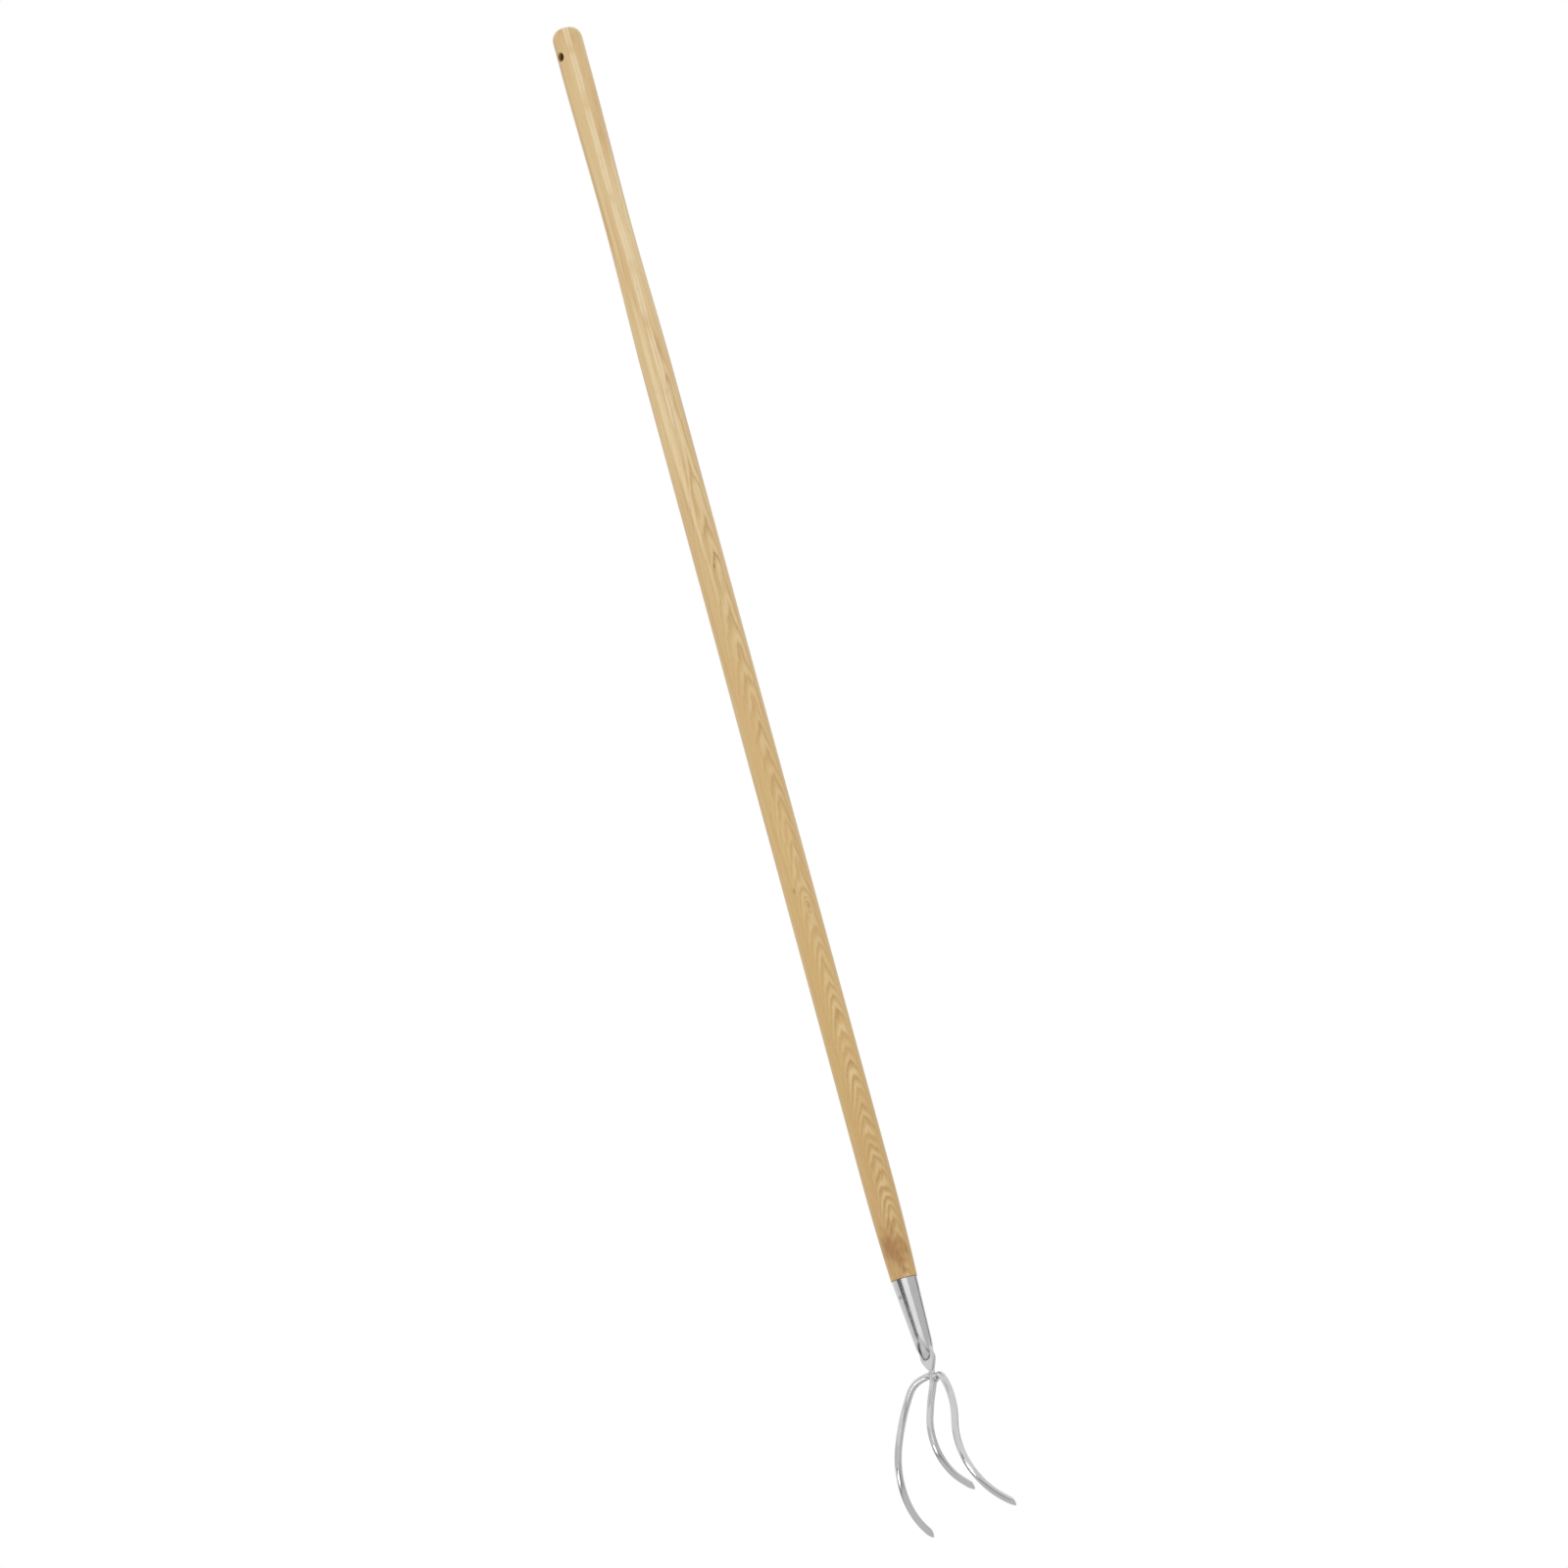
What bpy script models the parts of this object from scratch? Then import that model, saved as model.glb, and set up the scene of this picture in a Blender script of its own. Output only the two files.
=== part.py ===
"""A long-handled garden cultivator: an ash handle, a pinched steel socket and three bent tines.

The handle's axis is +Z, butt end up, as the tool hangs. The origin is the middle of the hanging
hole. The tips of the tines point towards +Y and +X is the side of the right tine.
"""

import math

import bmesh
import bpy
from mathutils import Vector

# Fit between touching pieces
GAP = 0.0003

# Handle
HANDLE_SHOWN = 1.2877  # butt end to socket mouth
SHAFT_DIAMETER = 0.0305
GRIP_DIAMETER = 0.0298  # at the butt
WAIST_DIAMETER = 0.0266
WAIST_FROM_END = 0.205
GRIP_FROM_END = 0.045  # where the grip starts to narrow
SHAFT_FROM_END = 0.370  # where the full shaft begins
BUTT_FLAT_RADIUS = 0.004
BUTT_DOME_DEPTH = 0.0125
FOOT_TAPER = 0.105  # length over which the shaft narrows to the socket
FOOT_ROUNDING = 2.0  # exponent of that taper, 1 is a plain cone
FOOT_DIAMETER = 0.0261
SPIGOT_LENGTH = 0.060
HOLE_FROM_END = 0.0294
HOLE_DIAMETER = 0.0080
HOLE_CHAMFER = 0.0013
HANDLE_STEPS = 40
CURVE_STEPS = 8

# Socket
SOCKET_LENGTH = 0.0912  # mouth to neck
MOUTH_DIAMETER = 0.0253
SOCKET_WALL = 0.0015
PINCH_TOP = 0.030  # heights above the neck
BLADE_WIDEST = 0.0115
NOSE_END = 0.0104
PINCH_DIAMETER = 0.0179
NOSE_WIDTH = 0.0164
NOSE_SQUARENESS = 3.0  # exponent of the nose's outline on the blade, 2 is an ellipse
NOSE_FLANKS = 0.95  # exponent of the nose's section at its end, 0.5 is an ellipse and more is softer
NOSE_BLEND = 2.4  # how closely the nose and the blade meet, more is a sharper line
BLADE_WIDTH = 0.0213
BLADE_THICKNESS = 0.0036
BLADE_GROWTH = 2.5  # how much sooner the blade reaches its thickness than its width
NECK_WIDTH = 0.0058
NECK_DEPTH = 0.0052
NECK_FORWARD = 0.0031  # the socket leans this far towards the tips' side
TRIM_ROUNDING = 1.35  # exponent of the trimmed edge from blade to neck, 1 is straight
SOCKET_SIDES = 40
NOSE_STEPS = 9
TRIM_STEPS = 7

# Rivet through socket and handle
RIVET_FROM_MOUTH = 0.0165
RIVET_DIAMETER = 0.0040
RIVET_HEAD_DIAMETER = 0.0056
RIVET_HEAD_HEIGHT = 0.0011
RIVET_STEPS = 24
RIVET_DOME_STEPS = 4

# Tines
ROD_DIAMETER = 0.0070
ROD_TOP_DIAMETER = 0.0056  # where the middle tine meets the neck
ROD_TOP_TAPER = 0.009
TIP_LENGTH = 0.008
TIP_DIAMETER = 0.0020
TIP_DROP = 0.0014  # the point lies this far below the bar's axis
TIP_ROUNDING = 1.8  # exponent of the taper to the point, 1 is a plain cone
TIP_STEPS = 4
ROD_SIDES_RESOLUTION = 4
BEND_STEP = math.radians(7)

# Corners of the bent rods from the neck, as (out, towards the tips' side, down), with bend radii
OUTER_ROOT_DROP = 0.0042
RIGHT_ROOT_LOWER = 0.0030  # the right bar is welded on a little lower than the left one
ROOT_CORNER = (0.0092, -0.0005)  # level with the root
ROOT_BEND = 0.0074
OUTER_CORNERS = (
    ((0.0224, -0.0084, 0.0072), 0.0255),
    ((0.0416, -0.0166, 0.0349), 0.0895),
    ((0.0515, -0.0463, 0.1083), 0.0740),
)
OUTER_TIP = (0.0660, 0.0034, 0.1491)
MIDDLE_CORNERS = (
    ((0.0, -0.0002, 0.0087), 0.0280),
    ((0.0, -0.0111, 0.0292), 0.1010),
    ((0.0, -0.0336, 0.0836), 0.0565),
)
MIDDLE_TIP = (0.0, 0.0138, 0.1185)

# Welds
WELD_RADIUS = 0.0016
WELD_SINK = 0.0004  # the middle of the weld lies this far inside the bar's surface
WELD_DROP = 0.0016  # the weld sags this far below the bar's axis
WELD_STEPS = 24
WELD_SIDES = 12

# Shading and meshing
SHARP_ANGLE = math.radians(40)
MERGE_DISTANCE = 0.00001

# Heights in the tool's frame
BUTT_Z = HOLE_FROM_END
MOUTH_Z = BUTT_Z - HANDLE_SHOWN
NECK_Z = MOUTH_Z - SOCKET_LENGTH
RIVET_Z = MOUTH_Z - RIVET_FROM_MOUTH

# Base colour, roughness and metallic value
ASH = ((0.74, 0.54, 0.30), 0.42, 0.0)
POLISHED_STEEL = ((0.72, 0.73, 0.74), 0.22, 1.0)
RIVET_STEEL = ((0.42, 0.42, 0.43), 0.35, 1.0)
WELD_STEEL = ((0.60, 0.60, 0.60), 0.40, 1.0)


def clear_scene():
    for obj in list(bpy.data.objects):
        bpy.data.objects.remove(obj, do_unlink=True)


def new_collection(name, hidden=False):
    collection = bpy.data.collections.new(name)
    collection.hide_render = hidden
    bpy.context.scene.collection.children.link(collection)
    return collection


def material(name, look):
    colour, roughness, metallic = look
    made = bpy.data.materials.new(name)
    made.use_nodes = True
    shader = made.node_tree.nodes["Principled BSDF"]
    shader.inputs["Base Color"].default_value = (*colour, 1.0)
    shader.inputs["Roughness"].default_value = roughness
    shader.inputs["Metallic"].default_value = metallic
    return made


def mesh_object(name, mesh_source, collection, look=None):
    """An object from a bmesh, with its faces pointing out."""
    bmesh.ops.recalc_face_normals(mesh_source, faces=mesh_source.faces)
    mesh = bpy.data.meshes.new(name)
    mesh_source.to_mesh(mesh)
    mesh_source.free()
    obj = bpy.data.objects.new(name, mesh)
    collection.objects.link(obj)
    if look is not None:
        mesh.materials.append(look)
        mesh.shade_smooth()
        mesh.set_sharp_from_angle(angle=SHARP_ANGLE)
    return obj


def as_cutter(obj):
    obj.hide_render = True
    obj.display_type = "WIRE"
    return obj


def cut(obj, cutter):
    modifier = obj.modifiers.new(f"cut_{cutter.name}", "BOOLEAN")
    modifier.operation = "DIFFERENCE"
    modifier.solver = "EXACT"
    modifier.object = cutter


def ease(share):
    """A smooth step from 0 to 1."""
    return 0.5 - 0.5 * math.cos(math.pi * min(max(share, 0.0), 1.0))


def mix(start, end, share):
    return start + (end - start) * share


def turned(name, profile, steps, collection, look=None, about="Z"):
    """A solid turned about its own Z axis from (radius, height) points that run top to bottom."""
    shape = bmesh.new()
    points = [shape.verts.new((radius, 0.0, height)) for radius, height in profile]
    for upper, lower in zip(points, points[1:]):
        shape.edges.new((upper, lower))
    mesh = bpy.data.meshes.new(name)
    shape.to_mesh(mesh)
    shape.free()
    obj = bpy.data.objects.new(name, mesh)
    collection.objects.link(obj)
    if about == "Y":
        obj.rotation_euler = (math.radians(90), 0.0, 0.0)
    screw = obj.modifiers.new("turn", "SCREW")
    screw.steps = steps
    screw.render_steps = steps
    screw.use_merge_vertices = True
    screw.merge_threshold = MERGE_DISTANCE
    screw.use_smooth_shade = True
    if look is not None:
        mesh.materials.append(look)
    return obj


def socket_radius(height):
    """The socket's outer radius at a height above the neck, on its round part."""
    share = (height - PINCH_TOP) / (SOCKET_LENGTH - PINCH_TOP)
    return mix(PINCH_DIAMETER, MOUTH_DIAMETER, share) / 2


def bore_radius(height):
    return socket_radius(height) - SOCKET_WALL


def forward(height):
    """How far the middle of the socket stands towards the tips' side, at a height above the neck."""
    return NECK_FORWARD * (1 - height / SOCKET_LENGTH)


def spigot_radius(height):
    """The straight spigot's radius where the leaning bore still clears it all round."""
    return bore_radius(height) - abs(forward(height)) - GAP


def handle_radius(from_end):
    """The handle's radius at a distance from the butt end, past the dome."""
    if from_end < WAIST_FROM_END:
        share = (from_end - GRIP_FROM_END) / (WAIST_FROM_END - GRIP_FROM_END)
        return mix(GRIP_DIAMETER, WAIST_DIAMETER, ease(share)) / 2
    if from_end < SHAFT_FROM_END:
        share = (from_end - WAIST_FROM_END) / (SHAFT_FROM_END - WAIST_FROM_END)
        return mix(WAIST_DIAMETER, SHAFT_DIAMETER, ease(share)) / 2
    share = (from_end - (HANDLE_SHOWN - FOOT_TAPER)) / FOOT_TAPER
    return mix(SHAFT_DIAMETER, FOOT_DIAMETER, max(share, 0.0) ** FOOT_ROUNDING) / 2


def handle_profile():
    """(radius, height) down the handle: flat, dome, grip, waist, shaft, foot and spigot."""
    side = GRIP_DIAMETER / 2 - BUTT_FLAT_RADIUS
    points = [(0.0, BUTT_Z)]
    for step in range(CURVE_STEPS + 1):
        angle = math.radians(90) * step / CURVE_STEPS
        radius = BUTT_FLAT_RADIUS + side * math.sin(angle)
        points.append((radius, BUTT_Z - BUTT_DOME_DEPTH * (1 - math.cos(angle))))
    stretches = (
        (GRIP_FROM_END, WAIST_FROM_END),
        (WAIST_FROM_END, SHAFT_FROM_END),
        (HANDLE_SHOWN - FOOT_TAPER, HANDLE_SHOWN),
    )
    for start, end in stretches:
        for step in range(CURVE_STEPS + 1):
            at = mix(start, end, step / CURVE_STEPS)
            if BUTT_Z - at < points[-1][1]:
                points.append((handle_radius(at), BUTT_Z - at))
    spigot_top = MOUTH_Z + GAP
    spigot_foot = MOUTH_Z - SPIGOT_LENGTH
    points[-1] = (FOOT_DIAMETER / 2, spigot_top)
    points.append((spigot_radius(spigot_top - NECK_Z), spigot_top))
    points.append((spigot_radius(spigot_foot - NECK_Z), spigot_foot))
    points.append((0.0, spigot_foot))
    return points


def rivet_hole_cutter(name, collection):
    """A cylinder along Y that drills right through the socket and the spigot."""
    shape = bmesh.new()
    bmesh.ops.create_cone(
        shape,
        cap_ends=True,
        segments=RIVET_STEPS,
        radius1=RIVET_DIAMETER / 2 + GAP,
        radius2=RIVET_DIAMETER / 2 + GAP,
        depth=MOUTH_DIAMETER + 2 * NECK_FORWARD,
    )
    cutter = as_cutter(mesh_object(name, shape, collection))
    cutter.rotation_euler = (math.radians(90), 0.0, 0.0)
    cutter.location = (0.0, 0.0, RIVET_Z)
    return cutter


def hanging_hole_cutter(collection):
    """The hanging hole with a chamfer at each mouth, as one turned cutter along Y."""
    wall = handle_radius(HOLE_FROM_END)
    radius = HOLE_DIAMETER / 2
    outside = wall + HOLE_CHAMFER
    flare = radius + 2 * HOLE_CHAMFER
    deep = wall - HOLE_CHAMFER
    profile = [
        (0.0, outside),
        (flare, outside),
        (radius, deep),
        (radius, -deep),
        (flare, -outside),
        (0.0, -outside),
    ]
    return as_cutter(turned("hanging_hole", profile, RIVET_STEPS, collection, about="Y"))


def make_handle(parts, cutters, look):
    handle = turned("handle", handle_profile(), HANDLE_STEPS, parts, look)
    cut(handle, hanging_hole_cutter(cutters))
    cut(handle, rivet_hole_cutter("handle_rivet_hole", cutters))
    return handle


def blade_size(height):
    """Half the pressed blade's width and thickness, from the round part down to the neck."""
    if height >= BLADE_WIDEST:
        share = ease((PINCH_TOP - height) / (PINCH_TOP - BLADE_WIDEST))
        thickness = BLADE_THICKNESS * min(share * BLADE_GROWTH, 1.0)
        return mix(PINCH_DIAMETER, BLADE_WIDTH, share) / 2, thickness / 2
    share = (BLADE_WIDEST - height) / BLADE_WIDEST
    half_width = mix(BLADE_WIDTH, NECK_WIDTH, share ** TRIM_ROUNDING) / 2
    return half_width, mix(BLADE_THICKNESS, NECK_DEPTH, share * share) / 2


def blade_depth(height, x):
    """Half the blade's thickness at a height above the neck and a distance from its middle."""
    half_width, half_depth = blade_size(height)
    past = max(abs(x) - (half_width - half_depth), 0.0)
    return math.sqrt(max(half_depth * half_depth - past * past, 0.0))


def nose_depth(height, x):
    """Half the depth of the cone's round end, which closes on the blade like the toe of a shoe."""
    share = (PINCH_TOP - height) / (PINCH_TOP - NOSE_END)
    if share >= 1:
        return 0.0
    narrowed = (1 - share ** NOSE_SQUARENESS) ** (1 / NOSE_SQUARENESS)
    half_width = mix(PINCH_DIAMETER, NOSE_WIDTH, share) / 2 * narrowed
    half_depth = PINCH_DIAMETER / 2 * math.sqrt(1 - share * share)
    inside = max(1 - (x / half_width) ** 2, 0.0)
    return half_depth * inside ** mix(0.5, NOSE_FLANKS, share)


def socket_point(height, angle):
    """x and y of the socket's outside from its middle, at a height above the neck."""
    across, towards = math.cos(angle), math.sin(angle)
    if height >= PINCH_TOP:
        return across * socket_radius(height), towards * socket_radius(height)
    x = across * blade_size(height)[0]
    depths = blade_depth(height, x), nose_depth(height, x)
    y = sum(depth ** NOSE_BLEND for depth in depths) ** (1 / NOSE_BLEND)
    return x, math.copysign(y, towards)


def socket_heights():
    """Heights of the sections above the neck, closer together where the nose closes."""
    turns = [math.radians(90) * step / NOSE_STEPS for step in range(NOSE_STEPS + 1)]
    nose = [mix(PINCH_TOP, NOSE_END, math.sin(turn)) for turn in turns]
    trim = [mix(NOSE_END, 0.0, step / TRIM_STEPS) for step in range(1, TRIM_STEPS + 1)]
    return [SOCKET_LENGTH] + nose + trim


def socket_shell():
    """The socket's outside: round sections lofted into the blade with its nose, and on to the neck."""
    shape = bmesh.new()
    rings = []
    for height in socket_heights():
        ring = []
        for side in range(SOCKET_SIDES):
            x, y = socket_point(height, math.tau * side / SOCKET_SIDES)
            ring.append(shape.verts.new((x, forward(height) + y, NECK_Z + height)))
        rings.append(ring)
    for upper, lower in zip(rings, rings[1:]):
        for side in range(SOCKET_SIDES):
            after = (side + 1) % SOCKET_SIDES
            shape.faces.new((upper[side], lower[side], lower[after], upper[after]))
    shape.faces.new(rings[0])
    shape.faces.new(reversed(rings[-1]))
    return shape


def bore_cutter(collection):
    """The hollow for the spigot: a cone that leans with the socket and is open at the mouth."""
    floor = SOCKET_LENGTH - SPIGOT_LENGTH - GAP
    above = SOCKET_LENGTH + SOCKET_WALL
    shape = bmesh.new()
    bmesh.ops.create_cone(
        shape,
        cap_ends=True,
        segments=SOCKET_SIDES,
        radius1=bore_radius(floor),
        radius2=bore_radius(above),
        depth=above - floor,
    )
    for vert in shape.verts:
        vert.co.y += forward(floor if vert.co.z < 0 else above)
    cutter = as_cutter(mesh_object("socket_bore", shape, collection))
    cutter.location = (0.0, 0.0, NECK_Z + (above + floor) / 2)
    return cutter


def make_socket(parts, cutters, look):
    socket = mesh_object("socket", socket_shell(), parts, look)
    cut(socket, bore_cutter(cutters))
    cut(socket, rivet_hole_cutter("socket_rivet_hole", cutters))
    return socket


def make_rivet(parts, look):
    """A pin along Y with a low domed head on each side of the socket."""
    height = SOCKET_LENGTH - RIVET_FROM_MOUTH
    seat = socket_radius(height) + GAP
    shank = RIVET_DIAMETER / 2
    head = RIVET_HEAD_DIAMETER / 2
    dome = []
    for step in range(RIVET_DOME_STEPS + 1):
        angle = math.radians(90) * step / RIVET_DOME_STEPS
        dome.append((head * math.sin(angle), seat + RIVET_HEAD_HEIGHT * math.cos(angle)))
    lower = [(radius, -level) for radius, level in reversed(dome)]
    profile = dome + [(shank, seat), (shank, -seat)] + lower
    rivet = turned("socket_rivet", profile, RIVET_STEPS, parts, look, about="Y")
    rivet.location = (0.0, forward(height), RIVET_Z)
    return rivet


def placed(corner, side):
    """A corner given from the neck as (out, towards the tips' side, down), in the tool's frame."""
    out, towards, down = corner
    return Vector((side * out, NECK_FORWARD + towards, NECK_Z - down))


def bent_route(start, bends, end):
    """Points along straight runs that meet in round bends of the given radii."""
    corners = [start] + [corner for corner, _ in bends] + [end]
    route = [start]
    for index, (corner, radius) in enumerate(bends, 1):
        back = (corners[index - 1] - corner).normalized()
        ahead = (corners[index + 1] - corner).normalized()
        half = back.angle(ahead) / 2
        centre = corner + (back + ahead).normalized() * (radius / math.sin(half))
        first = corner + back * (radius / math.tan(half)) - centre
        last = corner + ahead * (radius / math.tan(half)) - centre
        sweep = first.angle(last)
        steps = max(2, round(sweep / BEND_STEP))
        for step in range(steps + 1):
            share = step / steps
            early = math.sin((1 - share) * sweep) / math.sin(sweep)
            late = math.sin(share * sweep) / math.sin(sweep)
            route.append(centre + first * early + last * late)
    route.append(end)
    return route


def rod(name, points, diameters, collection, look=None):
    """A round bar along the points, as one closed mesh."""
    curve = bpy.data.curves.new(name, "CURVE")
    curve.dimensions = "3D"
    curve.bevel_depth = 0.5
    curve.bevel_resolution = ROD_SIDES_RESOLUTION
    curve.use_fill_caps = True
    spline = curve.splines.new("POLY")
    spline.points.add(len(points) - 1)
    for point, place, diameter in zip(spline.points, points, diameters):
        point.co = (*place, 1.0)
        point.radius = diameter
    guide = bpy.data.objects.new(f"{name}_guide", curve)
    collection.objects.link(guide)
    graph = bpy.context.evaluated_depsgraph_get()
    mesh = bpy.data.meshes.new_from_object(guide.evaluated_get(graph))
    shape = bmesh.new()
    shape.from_mesh(mesh)
    bmesh.ops.remove_doubles(shape, verts=shape.verts, dist=MERGE_DISTANCE)
    bpy.data.meshes.remove(mesh)
    bar = mesh_object(name, shape, collection, look)
    bar.matrix_world = guide.matrix_world.copy()
    bpy.data.objects.remove(guide, do_unlink=True)
    return bar


def with_point(route):
    """The route with a short tip, ground to a point low on the bar, and the bar's diameters."""
    along = (route[-1] - route[-2]).normalized()
    low = along.cross(Vector((0.0, 0.0, -1.0)).cross(along)).normalized()
    places = route[:-1]
    sizes = [ROD_DIAMETER] * len(places)
    for step in range(TIP_STEPS + 1):
        share = step / TIP_STEPS
        narrowed = share ** TIP_ROUNDING
        places.append(route[-1] - along * TIP_LENGTH * (1 - share) + low * TIP_DROP * narrowed)
        sizes.append(mix(ROD_DIAMETER, TIP_DIAMETER, narrowed))
    return places, sizes


def root_drop(side):
    """How far below the neck an outer tine's root lies."""
    return OUTER_ROOT_DROP + (RIGHT_ROOT_LOWER if side > 0 else 0.0)


def outer_route(side):
    drop = root_drop(side)
    start = placed((ROD_DIAMETER / 2 + GAP, 0.0, drop), side)
    bends = [(placed((*ROOT_CORNER, drop), side), ROOT_BEND)]
    bends += [(placed(corner, side), radius) for corner, radius in OUTER_CORNERS]
    return bent_route(start, bends, placed(OUTER_TIP, side))


def middle_route():
    start = placed((0.0, 0.0, GAP), 1)
    bends = [(placed(corner, 1), radius) for corner, radius in MIDDLE_CORNERS]
    return bent_route(start, bends, placed(MIDDLE_TIP, 1))


def make_outer_tine(name, side, parts, look):
    places, sizes = with_point(outer_route(side))
    return rod(name, places, sizes, parts, look)


def make_middle_tine(parts, look):
    """The middle tine, drawn down at its top to the size of the neck."""
    places, sizes = with_point(middle_route())
    for index, place in enumerate(places):
        below = NECK_Z - place.z
        if below < ROD_TOP_TAPER:
            sizes[index] = mix(ROD_TOP_DIAMETER, ROD_DIAMETER, ease(below / ROD_TOP_TAPER))
    return rod("middle_tine", places, sizes, parts, look)


def clearance_rod(name, route, cutters):
    """A tine's bar, wider by the gap all round, which a weld is cut back from."""
    inward = (route[0] - route[1]).normalized()
    longer = [route[0] + inward * GAP] + route[1:]
    sizes = [ROD_DIAMETER + 2 * GAP] * len(longer)
    return as_cutter(rod(name, longer, sizes, cutters))


def make_weld(name, side, parts, cutters, look):
    """A weld that sags round an outer tine's root, cut back from both bars by the gap."""
    out = ROD_DIAMETER / 2 + GAP + WELD_RADIUS
    bpy.ops.mesh.primitive_torus_add(
        major_radius=ROD_DIAMETER / 2 - WELD_SINK,
        minor_radius=WELD_RADIUS,
        major_segments=WELD_STEPS,
        minor_segments=WELD_SIDES,
        location=placed((out, 0.0, root_drop(side) + WELD_DROP), side),
        rotation=(0.0, math.radians(90), 0.0),
    )
    weld = bpy.context.object
    weld.name = name
    for collection in list(weld.users_collection):
        collection.objects.unlink(weld)
    parts.objects.link(weld)
    weld.data.materials.append(look)
    weld.data.shade_smooth()
    cut(weld, clearance_rod(f"{name}_outer_clearance", outer_route(side), cutters))
    cut(weld, clearance_rod(f"{name}_middle_clearance", middle_route(), cutters))
    return weld


def main():
    clear_scene()
    parts = new_collection("garden_cultivator")
    cutters = new_collection("cutters", hidden=True)
    ash = material("ash", ASH)
    steel = material("polished_steel", POLISHED_STEEL)
    rivet_steel = material("rivet_steel", RIVET_STEEL)
    weld_steel = material("weld_steel", WELD_STEEL)
    make_handle(parts, cutters, ash)
    make_socket(parts, cutters, steel)
    make_rivet(parts, rivet_steel)
    make_middle_tine(parts, steel)
    for name, side in (("left", -1), ("right", 1)):
        make_outer_tine(f"{name}_tine", side, parts, steel)
        make_weld(f"{name}_weld", side, parts, cutters, weld_steel)


main()
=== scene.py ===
"""Garden cultivator: finer visible pieces, finishes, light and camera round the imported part.

The handle's axis is +Z, butt end up, and the origin is the middle of the hanging hole. The tips
of the tines point towards +Y and +X is the side of the right tine. Lengths are in metres.
"""

import logging
import math
from dataclasses import dataclass
from enum import Enum
from typing import Any, Sequence, Union

import bmesh
import bpy
from mathutils import Matrix, Vector


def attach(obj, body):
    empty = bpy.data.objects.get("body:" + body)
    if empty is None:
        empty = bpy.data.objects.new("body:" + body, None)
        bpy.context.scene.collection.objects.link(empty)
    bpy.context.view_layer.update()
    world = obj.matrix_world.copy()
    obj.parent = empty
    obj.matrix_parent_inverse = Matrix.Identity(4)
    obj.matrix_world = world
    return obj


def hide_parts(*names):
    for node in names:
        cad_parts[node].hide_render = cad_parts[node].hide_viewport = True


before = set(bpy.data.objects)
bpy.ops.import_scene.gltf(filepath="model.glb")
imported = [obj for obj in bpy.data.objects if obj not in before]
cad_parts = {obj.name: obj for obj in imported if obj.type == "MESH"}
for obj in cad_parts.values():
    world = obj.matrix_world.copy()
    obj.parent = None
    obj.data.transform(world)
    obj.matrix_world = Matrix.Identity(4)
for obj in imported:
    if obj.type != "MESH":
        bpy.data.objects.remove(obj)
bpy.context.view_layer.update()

LOG = logging.getLogger("garden_cultivator")
BODY = "root"

# Heights of the tool's main places
BUTT_Z = 0.0294
MOUTH_Z = -1.2583
NECK_Z = -1.3495
NECK_Y = 0.0031

# The direction that the photograph is taken from, round the handle
CAMERA_SIDE = math.radians(-39.9)

MERGE_DISTANCE = 0.00001
SHARP_ANGLE = math.radians(35)
QUARTER_TURN = math.radians(90)

# Lays a shape that was turned about Z along Y
ALONG_Y = Matrix.Rotation(QUARTER_TURN, 4, "X")

Colour = tuple[float, float, float]


def srgb(red: int, green: int, blue: int) -> Colour:
    """Scene colour of a screen colour.

    Args:
        red: Red from 0 to 255.
        green: Green from 0 to 255.
        blue: Blue from 0 to 255.

    Returns:
        The three linear values.
    """
    def linear(level: int) -> float:
        """Linear value of one channel."""
        share = level / 255
        return share / 12.92 if share <= 0.04045 else ((share + 0.055) / 1.055) ** 2.4

    return linear(red), linear(green), linear(blue)


def ease(share: float) -> float:
    """A smooth step from 0 to 1 as share goes from 0 to 1."""
    return 0.5 - 0.5 * math.cos(math.pi * min(max(share, 0.0), 1.0))


def between(start: float, end: float, share: float) -> float:
    """The value at a share of the way from start to end."""
    return start + (end - start) * share


def shares(count: int) -> list[float]:
    """Even steps from 0 to 1."""
    return [step / count for step in range(count + 1)]


# Shader expressions


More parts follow.
